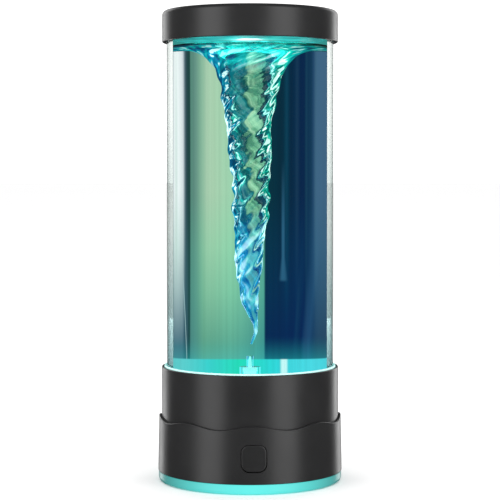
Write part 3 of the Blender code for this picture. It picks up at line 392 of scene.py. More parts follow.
def height_at(place):
    """The height of a place."""
    return Reading(parts_of(place)["Z"])


def turn_at(place):
    """The turn round the lamp's axis at a place, in radians from +X."""
    parts = parts_of(place)
    return sums(place.tree, "ARCTAN2", parts["Y"], parts["X"])


def lit(name, shade, glow):
    """A clouded moulding with a glowing colour: a light guide's own glow, or painted light on a piece that
    the lamps light. Its strength is left to the piece.
    """
    made, tree, shader, place = finish_of(name)
    paler = [share * 0.92 for share in shade]
    clouded = ramp(noise(place, 240.0, 3.0), ((0.3, paler), (0.7, shade)))
    feed(shader, {"Base Color": clouded, "Roughness": 0.28, "Emission Color": (*glow, 1)})
    return made, shader, place


ring_finish, shader, place = lit("lit ring", (0.03, 0.09, 0.09), (0.12, 0.92, 0.86))
# Painted shade: the glow is strongest front and back and falls off towards the sides, set by the turn round
# the axis.
painted_front_light = ((turn_at(place) + pi / 2) * 2.0).cosine()
feed(shader, {"Emission Strength": spread(painted_front_light, -1.0, 1.0, 0.10, 0.85), "Specular IOR Level": 0.2})
light_ring = lathe("glowing_ring", [
    (RING_FOOT_BORE_R, PLATE_LOW, 0), (RING_OUTER_R - 0.6 * MM, PLATE_LOW, 0.3 * MM),
    (RING_OUTER_R, 2.4 * MM, 0.8 * MM), (RING_OUTER_R, RING_HIGH, 0), (RING_BORE_R, RING_HIGH, 0),
    (RING_BORE_R, PLATE_HIGH + 0.3 * MM, 0), (RING_FOOT_BORE_R, PLATE_HIGH + 0.3 * MM, 0),
])
wear(light_ring, ring_finish)
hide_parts("light_ring")
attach(light_ring, "base")


# Boards: green glass-fibre board for the control and switch circuits, and white board under the lamps,
# all cut flat and held by screws or by their slots. They lie inside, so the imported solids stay.
green_board = moulded("green circuit board", (0.02, 0.13, 0.06), 0.35, 600.0, 0.00003)
white_board = moulded("white circuit board", (0.72, 0.73, 0.71), 0.4, 600.0, 0.00003)
for name in ("control_board", "switch_board"):
    wear(nodes[name], green_board)
for name in ("tank_led_board", "ring_led_board"):
    wear(nodes[name], white_board)
for number in range(1, 5):
    wear(nodes[f"board_screw_{number}"], steel)


# Base skirt: the lower housing, one black moulding with a soft foot and a rim that is drawn into eight
# low waves. Its wall is pierced for the button in front and for the USB plug behind.
SKIRT_LOW = 6.7 * MM
SKIRT_RIM = 41.9 * MM
SKIRT_LEDGE = 35.55 * MM
SKIRT_RIM_R = 60.25 * MM
SKIRT_BORE_R = 57.9 * MM
SKIRT_LIP_R = 58.8 * MM
SKIRT_SIDES = 288
WAVE_HEIGHT = 1.4 * MM
WAVE_COUNT = 8
BUTTON_HEIGHT = 23.2 * MM
BUTTON_HALF = (8.05 * MM, 8.55 * MM)
BUTTON_CORNER = 5.0 * MM
BUTTON_GAP = 0.3 * MM
PORT_HEIGHT = 15.7 * MM


def wave_rim(piece, finish):
    """Draws a turned housing's rim into even waves with Geometry Nodes, a crest over the button."""
    sizes = {"Wave height": WAVE_HEIGHT, "Waves": WAVE_COUNT, "Rim from": SKIRT_LEDGE}
    tree, given, values = rule("wavy rim", sizes)
    place = Reading(add(tree, "GeometryNodeInputPosition").outputs[0])
    swing = ((turn_at(place) + pi / 2) * given["Waves"]).cosine()
    near_rim = spread(height_at(place), given["Rim from"], SKIRT_RIM - 1.0 * MM, 0.0, 1.0)
    moved = {"Geometry": given["Geometry"], "Offset": vector(tree, Z=swing * given["Wave height"] * near_rim)}
    moved = add(tree, "GeometryNodeSetPosition", moved).outputs[0]
    follow(piece, tree, values, moved, finish)


def rounded(half_width, half_height, corner, steps=10):
    """Points of a rounded rectangle, as pairs."""
    points = []
    for quarter, (right, up) in enumerate(((1, 1), (-1, 1), (-1, -1), (1, -1))):
        for step in range(steps + 1):
            turn = pi / 2 * (quarter + step / steps)
            across = right * (half_width - corner) + corner * cos(turn)
            points.append((across, up * (half_height - corner) + corner * sin(turn)))
    return points


def skin(loops):
    """A bmesh through loops of equally many points, closed at both ends."""
    made = bmesh.new()
    rings = [[made.verts.new(point) for point in loop] for loop in loops]
    for near, far in zip(rings, rings[1:]):
        for place, corner in enumerate(near):
            after = (place + 1) % len(near)
            made.faces.new((corner, near[after], far[after], far[place]))
    made.faces.new(rings[0])
    made.faces.new(rings[-1])
    bmesh.ops.recalc_face_normals(made, faces=made.faces)
    return made


black_plastic = moulded("black moulded plastic", (0.0145, 0.0145, 0.015), 0.34, 1500.0, 0.00005)
skirt = lathe("wavy_skirt", [
    (SKIRT_BORE_R, SKIRT_LOW, 0), (SKIRT_FOOT_R, SKIRT_LOW, 0.4 * MM),
    (SKIRT_RIM_R + 0.12 * MM, SKIRT_LEDGE, 0), (SKIRT_RIM_R, SKIRT_RIM, 0.5 * MM),
    (SKIRT_LIP_R, SKIRT_RIM, 0.15 * MM), (SKIRT_LIP_R, SKIRT_LEDGE, 0), (SKIRT_BORE_R, SKIRT_LEDGE, 0),
], SKIRT_SIDES)
wave_rim(skirt, black_plastic)
button_hole = rounded(BUTTON_HALF[0] + BUTTON_GAP, BUTTON_HALF[1] + BUTTON_GAP, BUTTON_CORNER + BUTTON_GAP)
port = rounded(6.1 * MM, 3.3 * MM, 2.6 * MM)
for outline, height, way in ((button_hole, BUTTON_HEIGHT, -1), (port, PORT_HEIGHT, 1)):
    reach = (40 * MM, 70 * MM)
    cut(skirt, skin([[(x, way * distance, height + up) for x, up in outline] for distance in reach]))
wear(skirt, black_plastic)
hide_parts("base_skirt")
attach(skirt, "base")


# Power button: a rounded square of the same plastic, nearly flush. Its face follows the skirt's curve and
# is slightly dished for a fingertip, a flange behind keeps it in, and a stem bears on the switch.
FACE_R = 60.42 * MM
BUTTON_BACK = 56.84 * MM
FLANGE_REAR = BUTTON_BACK - 1.2 * MM
FLANGE_REACH = 1.3 * MM
STEM_SHARE = 0.21


def button_loop(inset, depth):
    """The button's outline, drawn in and pushed back from the skirt's curve."""
    points = rounded(BUTTON_HALF[0] - inset, BUTTON_HALF[1] - inset, max(BUTTON_CORNER - inset, 0.4 * MM))
    return [(x, -sqrt((FACE_R - depth) ** 2 - x**2), BUTTON_HEIGHT + up) for x, up in points]


def level_loop(outset, distance, share=1.0):
    """The button's outline at a distance from the axis, drawn out or made smaller."""
    points = rounded(BUTTON_HALF[0] + outset, BUTTON_HALF[1] + outset, BUTTON_CORNER + outset)
    return [(x * share, -distance, BUTTON_HEIGHT + up * share) for x, up in points]


face_rings = ((6.5, 0.26), (4.5, 0.22), (2.6, 0.14), (1.2, 0.03), (0.7, 0), (0.35, 0.06))
face_rings += ((0.1, 0.25), (0, 0.5))
face = [button_loop(inset * MM, depth * MM) for inset, depth in face_rings]
rear = [
    level_loop(0, BUTTON_BACK),
    level_loop(FLANGE_REACH, BUTTON_BACK),
    level_loop(FLANGE_REACH, FLANGE_REAR),
    level_loop(0, FLANGE_REAR, STEM_SHARE),
    level_loop(0, BUTTON_BACK - 4.7 * MM, STEM_SHARE),
]
button = shown("pressed_button", skin(face + rear))
wear(button, moulded("button plastic", (0.0130, 0.0130, 0.0135), 0.34, 1500.0, 0.00004))
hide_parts("power_button")
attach(button, "button")

white_plastic = moulded("white moulded plastic", (0.78, 0.80, 0.80), 0.4, 1100.0, 0.00004)
wear(nodes["switch_plunger"], white_plastic)


# USB socket: a drawn steel shell round a black tongue with a row of contacts, soldered to the control
# board and reached through the skirt's port.
SOCKET_FACE = 56.43 * MM


def socket_loop(inset, depth):
    """The socket's outline, drawn in and pushed back from its face."""
    points = rounded(4.47 * MM - inset, 1.6 * MM - inset, 1.59 * MM - inset, 8)
    return [(x, SOCKET_FACE - depth, PORT_HEIGHT + up) for x, up in points]


shell_rings = ((0, 7.35), (0, 0.12), (0.1, 0), (0.22, 0), (0.32, 0.12), (0.32, 6.15))
socket = shown("socket_shell", skin([socket_loop(inset * MM, depth * MM) for inset, depth in shell_rings]))
wear(socket, steel)
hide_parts("usb_socket")
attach(socket, "base")
tongue = bmesh.new()
block(tongue, (6.5 * MM, 4.6 * MM, 0.6 * MM), (0, SOCKET_FACE - 3.9 * MM, PORT_HEIGHT))
bmesh.ops.bevel(tongue, geom=tongue.edges[:], offset=0.12 * MM, segments=2, affect="EDGES")
tongue = shown("socket_tongue", tongue)
wear(tongue, dark_plastic)
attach(tongue, "base")
contacts = bmesh.new()
for number in range(12):
    x = (number - 5.5) * 0.5 * MM
    block(contacts, (0.26 * MM, 2.6 * MM, 0.66 * MM), (x, SOCKET_FACE - 3.4 * MM, PORT_HEIGHT))
contacts = shown("socket_contacts", contacts)
wear(contacts, plated("gilded contacts", (0.80, 0.58, 0.22), 0.3))
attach(contacts, "base")


# Base collar: the upper housing, one black moulding that stands inside the skirt's rim. Its deck carries
# the tank, and its posts take the base screws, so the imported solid's inside is made again here.
COLLAR_LOW = 35.85 * MM
COLLAR_HIGH = 75.3 * MM
COLLAR_R = 58.5 * MM
COLLAR_RIM_R = 57.0 * MM
COLLAR_BORE_R = 56.0 * MM
DECK_LOW = 49.8 * MM
DECK_HIGH = 52.3 * MM
DECK_HOLE_R = 16.0 * MM
collar = lathe("upper_collar", [
    (COLLAR_R, COLLAR_LOW, 0.2 * MM), (COLLAR_R, COLLAR_HIGH, 0.7 * MM),
    (COLLAR_RIM_R, COLLAR_HIGH, 0.3 * MM), (COLLAR_RIM_R, DECK_HIGH, 0),
    (DECK_HOLE_R, DECK_HIGH, 0), (DECK_HOLE_R, DECK_LOW, 0), (COLLAR_BORE_R, DECK_LOW, 0),
    (COLLAR_BORE_R, COLLAR_LOW, 0),
])


def column(made, x, y, radius, low, high):
    """Adds an upright cylinder to a bmesh."""
    place = Matrix.Translation((x, y, (low + high) / 2))
    ends = {"radius1": radius, "radius2": radius, "depth": high - low}
    bmesh.ops.create_cone(made, cap_ends=True, segments=28, matrix=place, **ends)


for x in (POST_PLACE, -POST_PLACE):
    for y in (POST_PLACE, -POST_PLACE):
        post = bmesh.new()
        column(post, x, y, 3.5 * MM, PLATE_HIGH + 0.3 * MM, DECK_LOW + 0.4 * MM)
        cut(collar, post, "UNION")
        bore = bmesh.new()
        column(bore, x, y, 1.7 * MM, 0, 16 * MM)
        cut(collar, bore)
wear(collar, black_plastic)
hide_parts("base_collar")
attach(collar, "base")


# Motor and magnetic drive: a small can motor hung under the deck, whose shaft turns a moulded carrier
# with four nickel-plated magnets. All of it is hidden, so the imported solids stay.
nickel = plated("nickel plating", (0.66, 0.64, 0.59), 0.25)
inner_steel = ["motor", "motor_shaft", "pivot_pin", "motor_screw_1", "motor_screw_2"]
inner_steel += [f"bracket_screw_{number}" for number in range(1, 4)]
for name in inner_steel:
    wear(nodes[name], steel)
for number in range(1, 5):
    wear(nodes[f"drive_magnet_{number}"], nickel)
    wear(nodes[f"rotor_magnet_{number}"], nickel)
wear(nodes["magnet_carrier"], white_plastic)


# Seat ring: a pale clouded moulding between the tube's foot and the collar. Its ledge carries the tank, it
# picks up the lamps' light below, and its lip shows as a bright line round the tube.
SEAT_LIP = 76.2 * MM
SEAT_LOW = 52.6 * MM
SEAT_LEDGE = 56.0 * MM
SEAT_R = 56.7 * MM
SEAT_LIP_R = 55.3 * MM
SEAT_BORE_R = 51.0 * MM
seat_finish, shader, place = lit("lit seat ring", (0.62, 0.80, 0.78), (0.16, 0.78, 0.72))
feed(shader, {"Emission Strength": spread(height_at(place), 60 * MM, 75.6 * MM, 1.3, 0.35)})
seat_ring = lathe("seat_light_ring", [
    (SEAT_BORE_R, SEAT_LOW, 0), (SEAT_R, SEAT_LOW, 0), (SEAT_R, SEAT_LIP, 0.35 * MM),
    (SEAT_LIP_R, SEAT_LIP, 0.2 * MM), (SEAT_LIP_R, SEAT_LEDGE, 0), (SEAT_BORE_R, SEAT_LEDGE, 0),
])
wear(seat_ring, seat_finish)
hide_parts("seat_ring")
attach(seat_ring, "base")


# Tank floor: a turned disc of clear acrylic cemented into the tube's foot, with a blind hole for the
# impeller's pin. The eight lamps below it show as bright spots.
FLOOR_LOW = 56.3 * MM
FLOOR_LEDGE = 58.6 * MM
FLOOR_HIGH = 61.6 * MM
LAMP_CIRCLE_R = 34.0 * MM
FLOOR_R = 55.0 * MM
FLOOR_NECK_R = 50.7 * MM
PIN_HOLE_R = 1.3 * MM
PIN_HOLE_LOW = 57.9 * MM


def length(place):
    """How far a place is from the origin."""
    made = add(place.tree, "ShaderNodeVectorMath", {0: place}, operation="LENGTH")
    return Reading(made.outputs["Value"])


def radius_at(place):
    """How far a place is from the lamp's axis."""
    parts = parts_of(place)
    return length(vector(place.tree, X=parts["X"], Y=parts["Y"]))


floor_finish, shader, place = lit("lit tank floor", (0.30, 0.75, 0.72), (0.03, 0.70, 0.66))
apart = sums(place.tree, "PINGPONG", turn_at(place) + pi, pi / 8)
sideways = (apart - pi / 8) * LAMP_CIRCLE_R
distance = length(vector(place.tree, X=sideways, Y=radius_at(place) - LAMP_CIRCLE_R))
feed(shader, {"Emission Strength": spread(distance, 2 * MM, 13 * MM, 3.2, 0.75)})
tank_floor = lathe("lit_tank_floor", [
    (0, FLOOR_LOW, 0), (FLOOR_R, FLOOR_LOW, 0.2 * MM), (FLOOR_R, FLOOR_LEDGE, 0.2 * MM),
    (FLOOR_NECK_R, FLOOR_LEDGE, 0), (FLOOR_NECK_R, FLOOR_HIGH, 0.3 * MM), (PIN_HOLE_R, FLOOR_HIGH, 0),
    (PIN_HOLE_R, PIN_HOLE_LOW, 0), (0, PIN_HOLE_LOW, 0),
])
wear(tank_floor, floor_finish)
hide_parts("tank_floor")
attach(tank_floor, "base")


# Impeller: a pale moulding that spins on the pin. A rotor disc holds the magnets and six swept vanes, and
# a drum, a flange and a pointed nose rise from it into the foot of the vortex.
ROTOR_LOW = 62.1 * MM
ROTOR_HIGH = 65.3 * MM
ROTOR_R = 14.0 * MM
HUB_R = 4.2 * MM
FLANGE_R = 4.8 * MM
FLANGE_LOW = 73.0 * MM
FLANGE_TOP = 75.6 * MM
NOSE_TOP = 83.1 * MM
PIN_BORE_R = 1.1 * MM
PIN_BORE_TOP = 72.3 * MM
MAGNET_CIRCLE_R = 9.0 * MM
POCKET_R = 4.3 * MM
POCKET_HIGH = ROTOR_LOW + 2.6 * MM
VANE_INNER_R = 3.8 * MM
VANE_OUTER_R = 13.6 * MM
VANE_TOP = 67.5 * MM
VANE_HALF = 0.62 * MM
VANE_SWEEP = radians(52)
VANE_STEPS = 10
# Its even glow is painted light, standing in for the lamps' light falling on the pale plastic.
pale_painted_glow, shader, place = lit("impeller with painted glow", (0.72, 0.92, 0.90), (0.42, 0.95, 0.86))
feed(shader, {"Emission Strength": 0.75})
impeller = lathe("spinning_impeller", [
    (0, PIN_BORE_TOP, 0), (PIN_BORE_R, PIN_BORE_TOP, 0), (PIN_BORE_R, ROTOR_LOW, 0),
    (ROTOR_R, ROTOR_LOW, 0.4 * MM), (ROTOR_R, ROTOR_HIGH, 0.6 * MM), (HUB_R, ROTOR_HIGH, 1.0 * MM),
    (HUB_R, FLANGE_LOW, 0.2 * MM), (FLANGE_R, FLANGE_LOW, 0.2 * MM), (FLANGE_R, FLANGE_TOP, 0.7 * MM),
    (1.3 * MM, FLANGE_TOP, 0.5 * MM), (0.75 * MM, NOSE_TOP - 0.7 * MM, 0.4 * MM), (0, NOSE_TOP, 0),
], 64, 4)
rows = []
for step in range(VANE_STEPS + 1):
    share = step / VANE_STEPS
    radius = VANE_INNER_R + (VANE_OUTER_R - VANE_INNER_R) * share
    turn = -VANE_SWEEP * share
    middle = Vector((radius * cos(turn), radius * sin(turn), 0))
    across = Vector((-sin(turn - 0.5), cos(turn - 0.5), 0)) * (VANE_HALF * (1 - 0.35 * share))
    low = Vector((0, 0, ROTOR_HIGH - 0.3 * MM))
    top = Vector((0, 0, VANE_TOP - 0.5 * MM * share))
    edge = top - Vector((0, 0, 0.3 * MM))
    sides = ((-1.15, low), (1.15, low), (1, edge), (0.6, top), (-0.6, top), (-1, edge))
    rows.append([middle + across * wide + up for wide, up in sides])
vanes = shown("impeller_vanes", skin(rows))
set_out(vanes, pale_painted_glow, 6, 0.0)
pockets = bmesh.new()
for number in range(4):
    turn = pi / 2 * number
    x, y = MAGNET_CIRCLE_R * cos(turn), MAGNET_CIRCLE_R * sin(turn)
    column(pockets, x, y, POCKET_R, 60 * MM, POCKET_HIGH)
cut(impeller, pockets)
for piece in (impeller, vanes):
    wear(piece, pale_painted_glow)
    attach(piece, "impeller_body")
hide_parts("impeller")


# Tank tube: clear acrylic, cut square and polished. From inside the water its inner face glows with painted
# light:
# tall soft bands of green and deep blue between pale strips, standing in for the lamps' light the wall
# carries up from the base and for the surroundings seen through the water.
TUBE_R = 55.0 * MM
TUBE_BORE_R = 51.0 * MM
TUBE_LOW = 58.9 * MM
TUBE_HIGH = 303.9 * MM
TUBE_SIDES = 256
FAR_SIDE = radians(87.6)
ACRYLIC = (0.97, 1.0, 0.995, 1)
ACRYLIC_IOR = 1.49


def blended(factor, first, second):
    """A colour Mix node's result."""
    made = add(factor.tree, "ShaderNodeMix", {0: factor, 6: first, 7: second}, data_type="RGBA")
    return Reading(made.outputs[2])


def vectors(operation, first, second):
    """A Vector Math node's result, on places or on colours."""
    made = add(first.tree, "ShaderNodeVectorMath", {0: first, 1: second}, operation=operation)
    return Reading(made.outputs[0])


def wetted(tree, colour, mirror, bending):
    """A clear face with water against it: it bends light, and mirrors it only past the critical angle."""
    through = add(tree, "ShaderNodeBsdfRefraction", {"Color": colour, "Roughness": 0.0, "IOR": bending})
    back = add(tree, "ShaderNodeBsdfAnisotropic", {"Color": mirror, "Roughness": 0.0})
    past = Reading(add(tree, "ShaderNodeFresnel", {"IOR": bending}).outputs[0]) > 0.98
    return add(tree, "ShaderNodeMixShader", {0: past, 1: through.outputs[0], 2: back.outputs[0]}).outputs[0]


def clear_finish(name, colour, bending):
    """A clear, polished material."""
    made, tree, shader, place = finish_of(name)
    feed(shader, {"Base Color": colour, "Roughness": 0.0, "IOR": bending, "Transmission Weight": 1.0})
    return made, tree, shader, place


def bare_finish(name):
    """A material without its Principled shader."""
    made, tree, shader, place = finish_of(name)
    tree.nodes.remove(shader)
    return made, tree, place


clear = clear_finish("clear acrylic", ACRYLIC, ACRYLIC_IOR)[0]
glowing, tree, place = bare_finish("acrylic with painted bands")
turn = turn_at(place)
height = height_at(place)
# Painted shade on the mirrored edge: its tint is dark teal low down and pales towards white high up.
mirror = ramp(height / (300 * MM), (
    (0.25, (0.2, 0.36, 0.38)), (0.4, (0.44, 0.58, 0.58)), (0.55, (0.78, 0.85, 0.83)),
    (0.67, (0.8, 0.86, 0.84)), (0.8, (0.94, 0.97, 0.95)),
))
seen_through = wetted(tree, ACRYLIC, mirror, ACRYLIC_IOR)

# Light that has passed more than five clear faces has crossed the vortex's air, and some light is mirrored
# by it. Both come from other parts of the wall than light seen straight through the water, and find bands of
# their own. A sector is the share of a quarter turn, and the bands repeat in each quarter.
path = add(tree, "ShaderNodeLightPath").outputs
crossed = Reading(path["Transmission Depth"]) > 5.5
bounced = Reading(path["Glossy Depth"]) > 0.5
bent = crossed.at_least(bounced)
quarters = 2.5 - (turn - FAR_SIDE) / (pi / 2)
sector = sums(tree, "FRACT", quarters - crossed * 0.2)

# Painted bands seen straight through the water, painted light standing in for the lamps' light and the
# surroundings, a set high up and a set low down.
high_bands = ramp(sector, (
    (0.186, (1.1, 0.96, 0.98)), (0.198, (0.86, 0.75, 0.8)), (0.1995, (0.66, 0.59, 0.64)),
    (0.2012, (0.4, 0.38, 0.43)), (0.2035, (0.19, 0.23, 0.27)), (0.2075, (0.045, 0.08, 0.1)),
    (0.2133, (0.02, 0.06, 0.062)), (0.218, (0.016, 0.055, 0.052)), (0.224, (0.018, 0.06, 0.055)),
    (0.227, (0.125, 0.265, 0.21)), (0.2378, (0.13, 0.245, 0.205)), (0.2511, (0.168, 0.293, 0.237)),
    (0.2644, (0.248, 0.404, 0.297)), (0.2811, (0.345, 0.496, 0.355)), (0.2956, (0.45, 0.56, 0.404)),
    (0.325, (0.48, 0.605, 0.425)), (0.42, (0.4, 0.62, 0.42)), (0.565, (0.15, 0.38, 0.27)),
    (0.572, (0.001, 0.035, 0.05)), (0.655, (0.001, 0.028, 0.05)), (0.673, (0.005, 0.05, 0.09)),
    (0.69, (0.001, 0.025, 0.055)), (0.7089, (0.003, 0.026, 0.062)), (0.7211, (0.01, 0.042, 0.09)),
    (0.7356, (0.002, 0.022, 0.066)), (0.7533, (0.002, 0.022, 0.066)), (0.7611, (0.009, 0.05, 0.1)),
    (0.77, (0.005, 0.034, 0.08)), (0.7811, (0.007, 0.042, 0.09)), (0.79, (0.02, 0.066, 0.145)),
    (0.7978, (0.06, 0.135, 0.23)), (0.8033, (0.06, 0.13, 0.23)),
))
lean = (sector > 0.69) * spread(height, 86 * MM, 142 * MM, 0.0, 0.03)
low_bands = ramp(sector - lean, (
    (0.196, (0.07, 0.165, 0.22)), (0.2056, (0.03, 0.085, 0.12)), (0.2133, (0.05, 0.11, 0.14)),
    (0.218, (0.014, 0.062, 0.066)), (0.224, (0.016, 0.066, 0.068)), (0.227, (0.08, 0.24, 0.225)),
    (0.2511, (0.095, 0.275, 0.235)), (0.2811, (0.127, 0.34, 0.24)), (0.42, (0.125, 0.385, 0.285)),
    (0.565, (0.06, 0.285, 0.27)), (0.572, (0.001, 0.025, 0.085)), (0.7, (0.001, 0.023, 0.09)),
    (0.7089, (0.005, 0.036, 0.105)), (0.7356, (0.001, 0.021, 0.085)), (0.7533, (0.014, 0.055, 0.145)),
    (0.77, (0.016, 0.065, 0.16)), (0.7811, (0.01, 0.05, 0.125)), (0.8, (0.016, 0.058, 0.12)),
))

# Bands beside them: painted highlights in bright patches for light that the air has bent or mirrored, and
# calm ones for the rest.
side_bands = ramp(sector, (
    (0.0, (0.8, 1.0, 1.0)), (0.06, (0.62, 0.95, 0.92)), (0.085, (0.02, 0.42, 0.42)),
    (0.12, (0.0, 0.1, 0.16)), (0.18, (0.0, 0.06, 0.11)), (0.82, (0.0, 0.14, 0.16)),
    (0.836, (0.01, 0.46, 0.4)), (0.862, (0.03, 0.56, 0.48)), (0.88, (0.6, 0.95, 0.9)),
    (0.92, (0.85, 1.0, 1.0)),
))
crossed_bands = ramp(sector, (
    (0.0, (0.01, 0.4, 0.36)), (0.05, (0.0, 0.16, 0.2)), (0.12, (0.0, 0.06, 0.12)),
    (0.24, (0.01, 0.09, 0.1)), (0.77, (0.0, 0.14, 0.15)), (0.86, (0.01, 0.42, 0.34)),
    (0.888, (0.5, 0.95, 0.88)), (0.945, (0.75, 1.0, 1.0)), (0.968, (0.02, 0.46, 0.42)),
))
calm_bands = ramp(sector, (
    (0.0, (0.02, 0.24, 0.27)), (0.07, (0.07, 0.34, 0.31)), (0.14, (0.18, 0.44, 0.36)),
    (0.186, (0.3, 0.5, 0.42)), (0.823, (0.03, 0.08, 0.17)), (0.88, (0.005, 0.08, 0.15)),
    (0.95, (0.006, 0.16, 0.21)),
))
patchy = vectors("MULTIPLY", vector(tree, X=turn * 1.6, Y=height), (1, 55, 1))
patches = noise(patchy, 1.0, 1.0)
either = blended(crossed, side_bands, crossed_bands)
beside = blended(spread(patches, 0.44, 0.52, 0.0, 1.0), (0.0, 0.11, 0.15, 1), either)

# The two sets run into each other, painted a little brighter between them, with a painted pale streak to the
# right of the vortex and a painted thin bright line, a painted highlight, to the left.
seen_bands = blended(spread(height, 85 * MM, 190 * MM, 0.0, 1.0), low_bands, high_bands)
middle = spread(abs(height - 137 * MM), 15 * MM, 50 * MM, 1.0, 0.0)
lifted = vectors("MULTIPLY", seen_bands, (1.07, 1.16, 1.09))
seen_bands = blended(middle, seen_bands, lifted)
seen_bands = vectors("SUBTRACT", seen_bands, (0.003, 0.006, 0.003))
seen_bands = vectors("MAXIMUM", seen_bands, (0, 0, 0))
streak_half = spread(height, 131 * MM, 146 * MM, 0.017, 0.008)
in_streak = spread(abs(sector - 0.657) / streak_half, 0.4, 1.3, 0.85, 0.0)
streak_low = spread(height, 129 * MM, 131 * MM, 0.0, 1.0)
streak_high = spread(height, 165 * MM, 212 * MM, 1.0, 0.0)
seen_bands = blended(in_streak * (streak_low * streak_high), seen_bands, (0.027, 0.115, 0.220, 1))
from_line = abs(sector - spread(height, 78 * MM, 132 * MM, 0.2125, 0.1995))
line = spread(from_line, 0.0004, 0.0016, 0.7, 0.0) * spread(height, 122 * MM, 136 * MM, 1.0, 0.0)
seen_bands = blended(line, seen_bands, (0.50, 0.62, 0.66, 1))

# Across the air the flanks are painted bluer to the left and greener to the right, and so are the painted
# glints in it.
rightwards = spread(turn.cosine(), -0.3, 0.3, 0.0, 1.0)
flank = blended(rightwards, (0.20, 0.50, 0.95, 1), (0.25, 0.75, 0.60, 1))
flanking = crossed * spread(abs(quarters - 2.5), 0.62, 0.70, 0.0, 1.0)
seen_bands = blended(flanking, seen_bands, vectors("MULTIPLY", seen_bands, flank))
far_edge = spread(crossed, 0.0, 1.0, 0.318, 0.262)
beyond = spread(abs(sector - 0.505) - far_edge, 0.0, 0.006, 0.0, 1.0)
bluer = vectors("MULTIPLY", beside, (0.7, 0.75, 1.3))
aside_bands = blended(spread(height, 140 * MM, 200 * MM, 0.0, 1.0), bluer, beside)
banded = blended(beyond, seen_bands, blended(bent, calm_bands, aside_bands))
left_glints = ramp(patches, (
    (0.38, (0.0, 0.05, 0.12)), (0.46, (0.0, 0.14, 0.25)), (0.54, (0.01, 0.32, 0.46)),
    (0.565, (0.8, 0.98, 1.0)),
))
right_glints = ramp(patches, (
    (0.38, (0.0, 0.09, 0.1)), (0.46, (0.0, 0.23, 0.17)), (0.54, (0.02, 0.46, 0.34)),
    (0.565, (0.8, 1.0, 0.95)),
))
bounced_up = bounced * spread(height, 120 * MM, 160 * MM, 0.0, 1.0)
banded = blended(bounced_up, banded, blended(rightwards, left_glints, right_glints))

# Painted light from the floor washes the foot of the wall, the foot itself shows as a painted bright strip,
# and the top is painted dim, a painted shade under the cap.
near_floor = spread(height, 77 * MM, 93 * MM, 0.4, 0.0) ** 1.6
washed = blended(near_floor, banded, (0.03, 0.60, 0.62, 1.0))
near_cap = spread(height, 285.6 * MM, 287 * MM, 0.0, 1.0)
washed = blended(near_cap, washed, (0.03, 0.28, 0.26, 1.0))
strip = ramp(sector, (
    (0.195, (0.13, 0.6, 0.62)), (0.3, (0.05, 0.6, 0.6)), (0.45, (0.02, 0.68, 0.48)),
    (0.6, (0.03, 0.64, 0.66)), (0.64, (0.04, 0.64, 0.7)), (0.65, (0.66, 0.9, 0.92)),
    (0.67, (0.66, 0.9, 0.92)), (0.68, (0.06, 0.64, 0.72)), (0.79, (0.08, 0.66, 0.76)),
))
glow = blended(spread(height, 76.2 * MM, 77.0 * MM, 1.0, 0.0), washed, strip)
shimmer = spread(noise(vector(tree, X=turn * 26.0, Y=height), 1.6, 4.0), 0.3, 0.7, 0.92, 1.06)
aside = spread(beyond * bent, 0.0, 1.0, 1.1, 1.7)
# The painted bands are an emission on the inner face, seen from inside the water, with a painted shimmer;
# crossed from the acrylic side the face is clear.
light = add(tree, "ShaderNodeEmission", {"Color": glow, "Strength": shimmer * aside}).outputs[0]
outwards = add(tree, "ShaderNodeNewGeometry").outputs["Backfacing"]
mixed = add(tree, "ShaderNodeMixShader", {0: outwards, 1: light, 2: seen_through}).outputs[0]
feed(tree.nodes["Material Output"], {"Surface": mixed})
tube = lathe("clear_tube", [
    (TUBE_BORE_R, TUBE_LOW, 0.3 * MM), (TUBE_R, TUBE_LOW, 0.3 * MM), (TUBE_R, TUBE_HIGH, 0.3 * MM),
    (TUBE_BORE_R, TUBE_HIGH, 0.3 * MM),
], TUBE_SIDES, 2, 12)
wear(tube, clear, glowing)
for face in tube.data.polygons:
    if face.center.xy.length < TUBE_BORE_R + 0.05 * MM:
        face.material_index = 1
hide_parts("tank_tube")
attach(tube, "base")


# Water: the filled tank, drawn into a funnel at the surface that narrows to a twisted, ridged rope of air
# and a thin thread over the impeller. It is one closed body, open round the impeller below.
WATER = (0.90, 1.0, 0.985, 1)
WATER_IOR = 1.33
WATER_LEVEL = 285.3 * MM
VORTEX_DEPTH = 194.5 * MM
VORTEX_SIDES = 120
VORTEX_ROWS = 560
TWIST_PITCH = 72.0 * MM
FIRST_STEP = 0.16 * MM
GROWN = 62.5
GROWING = 10.0 * MM


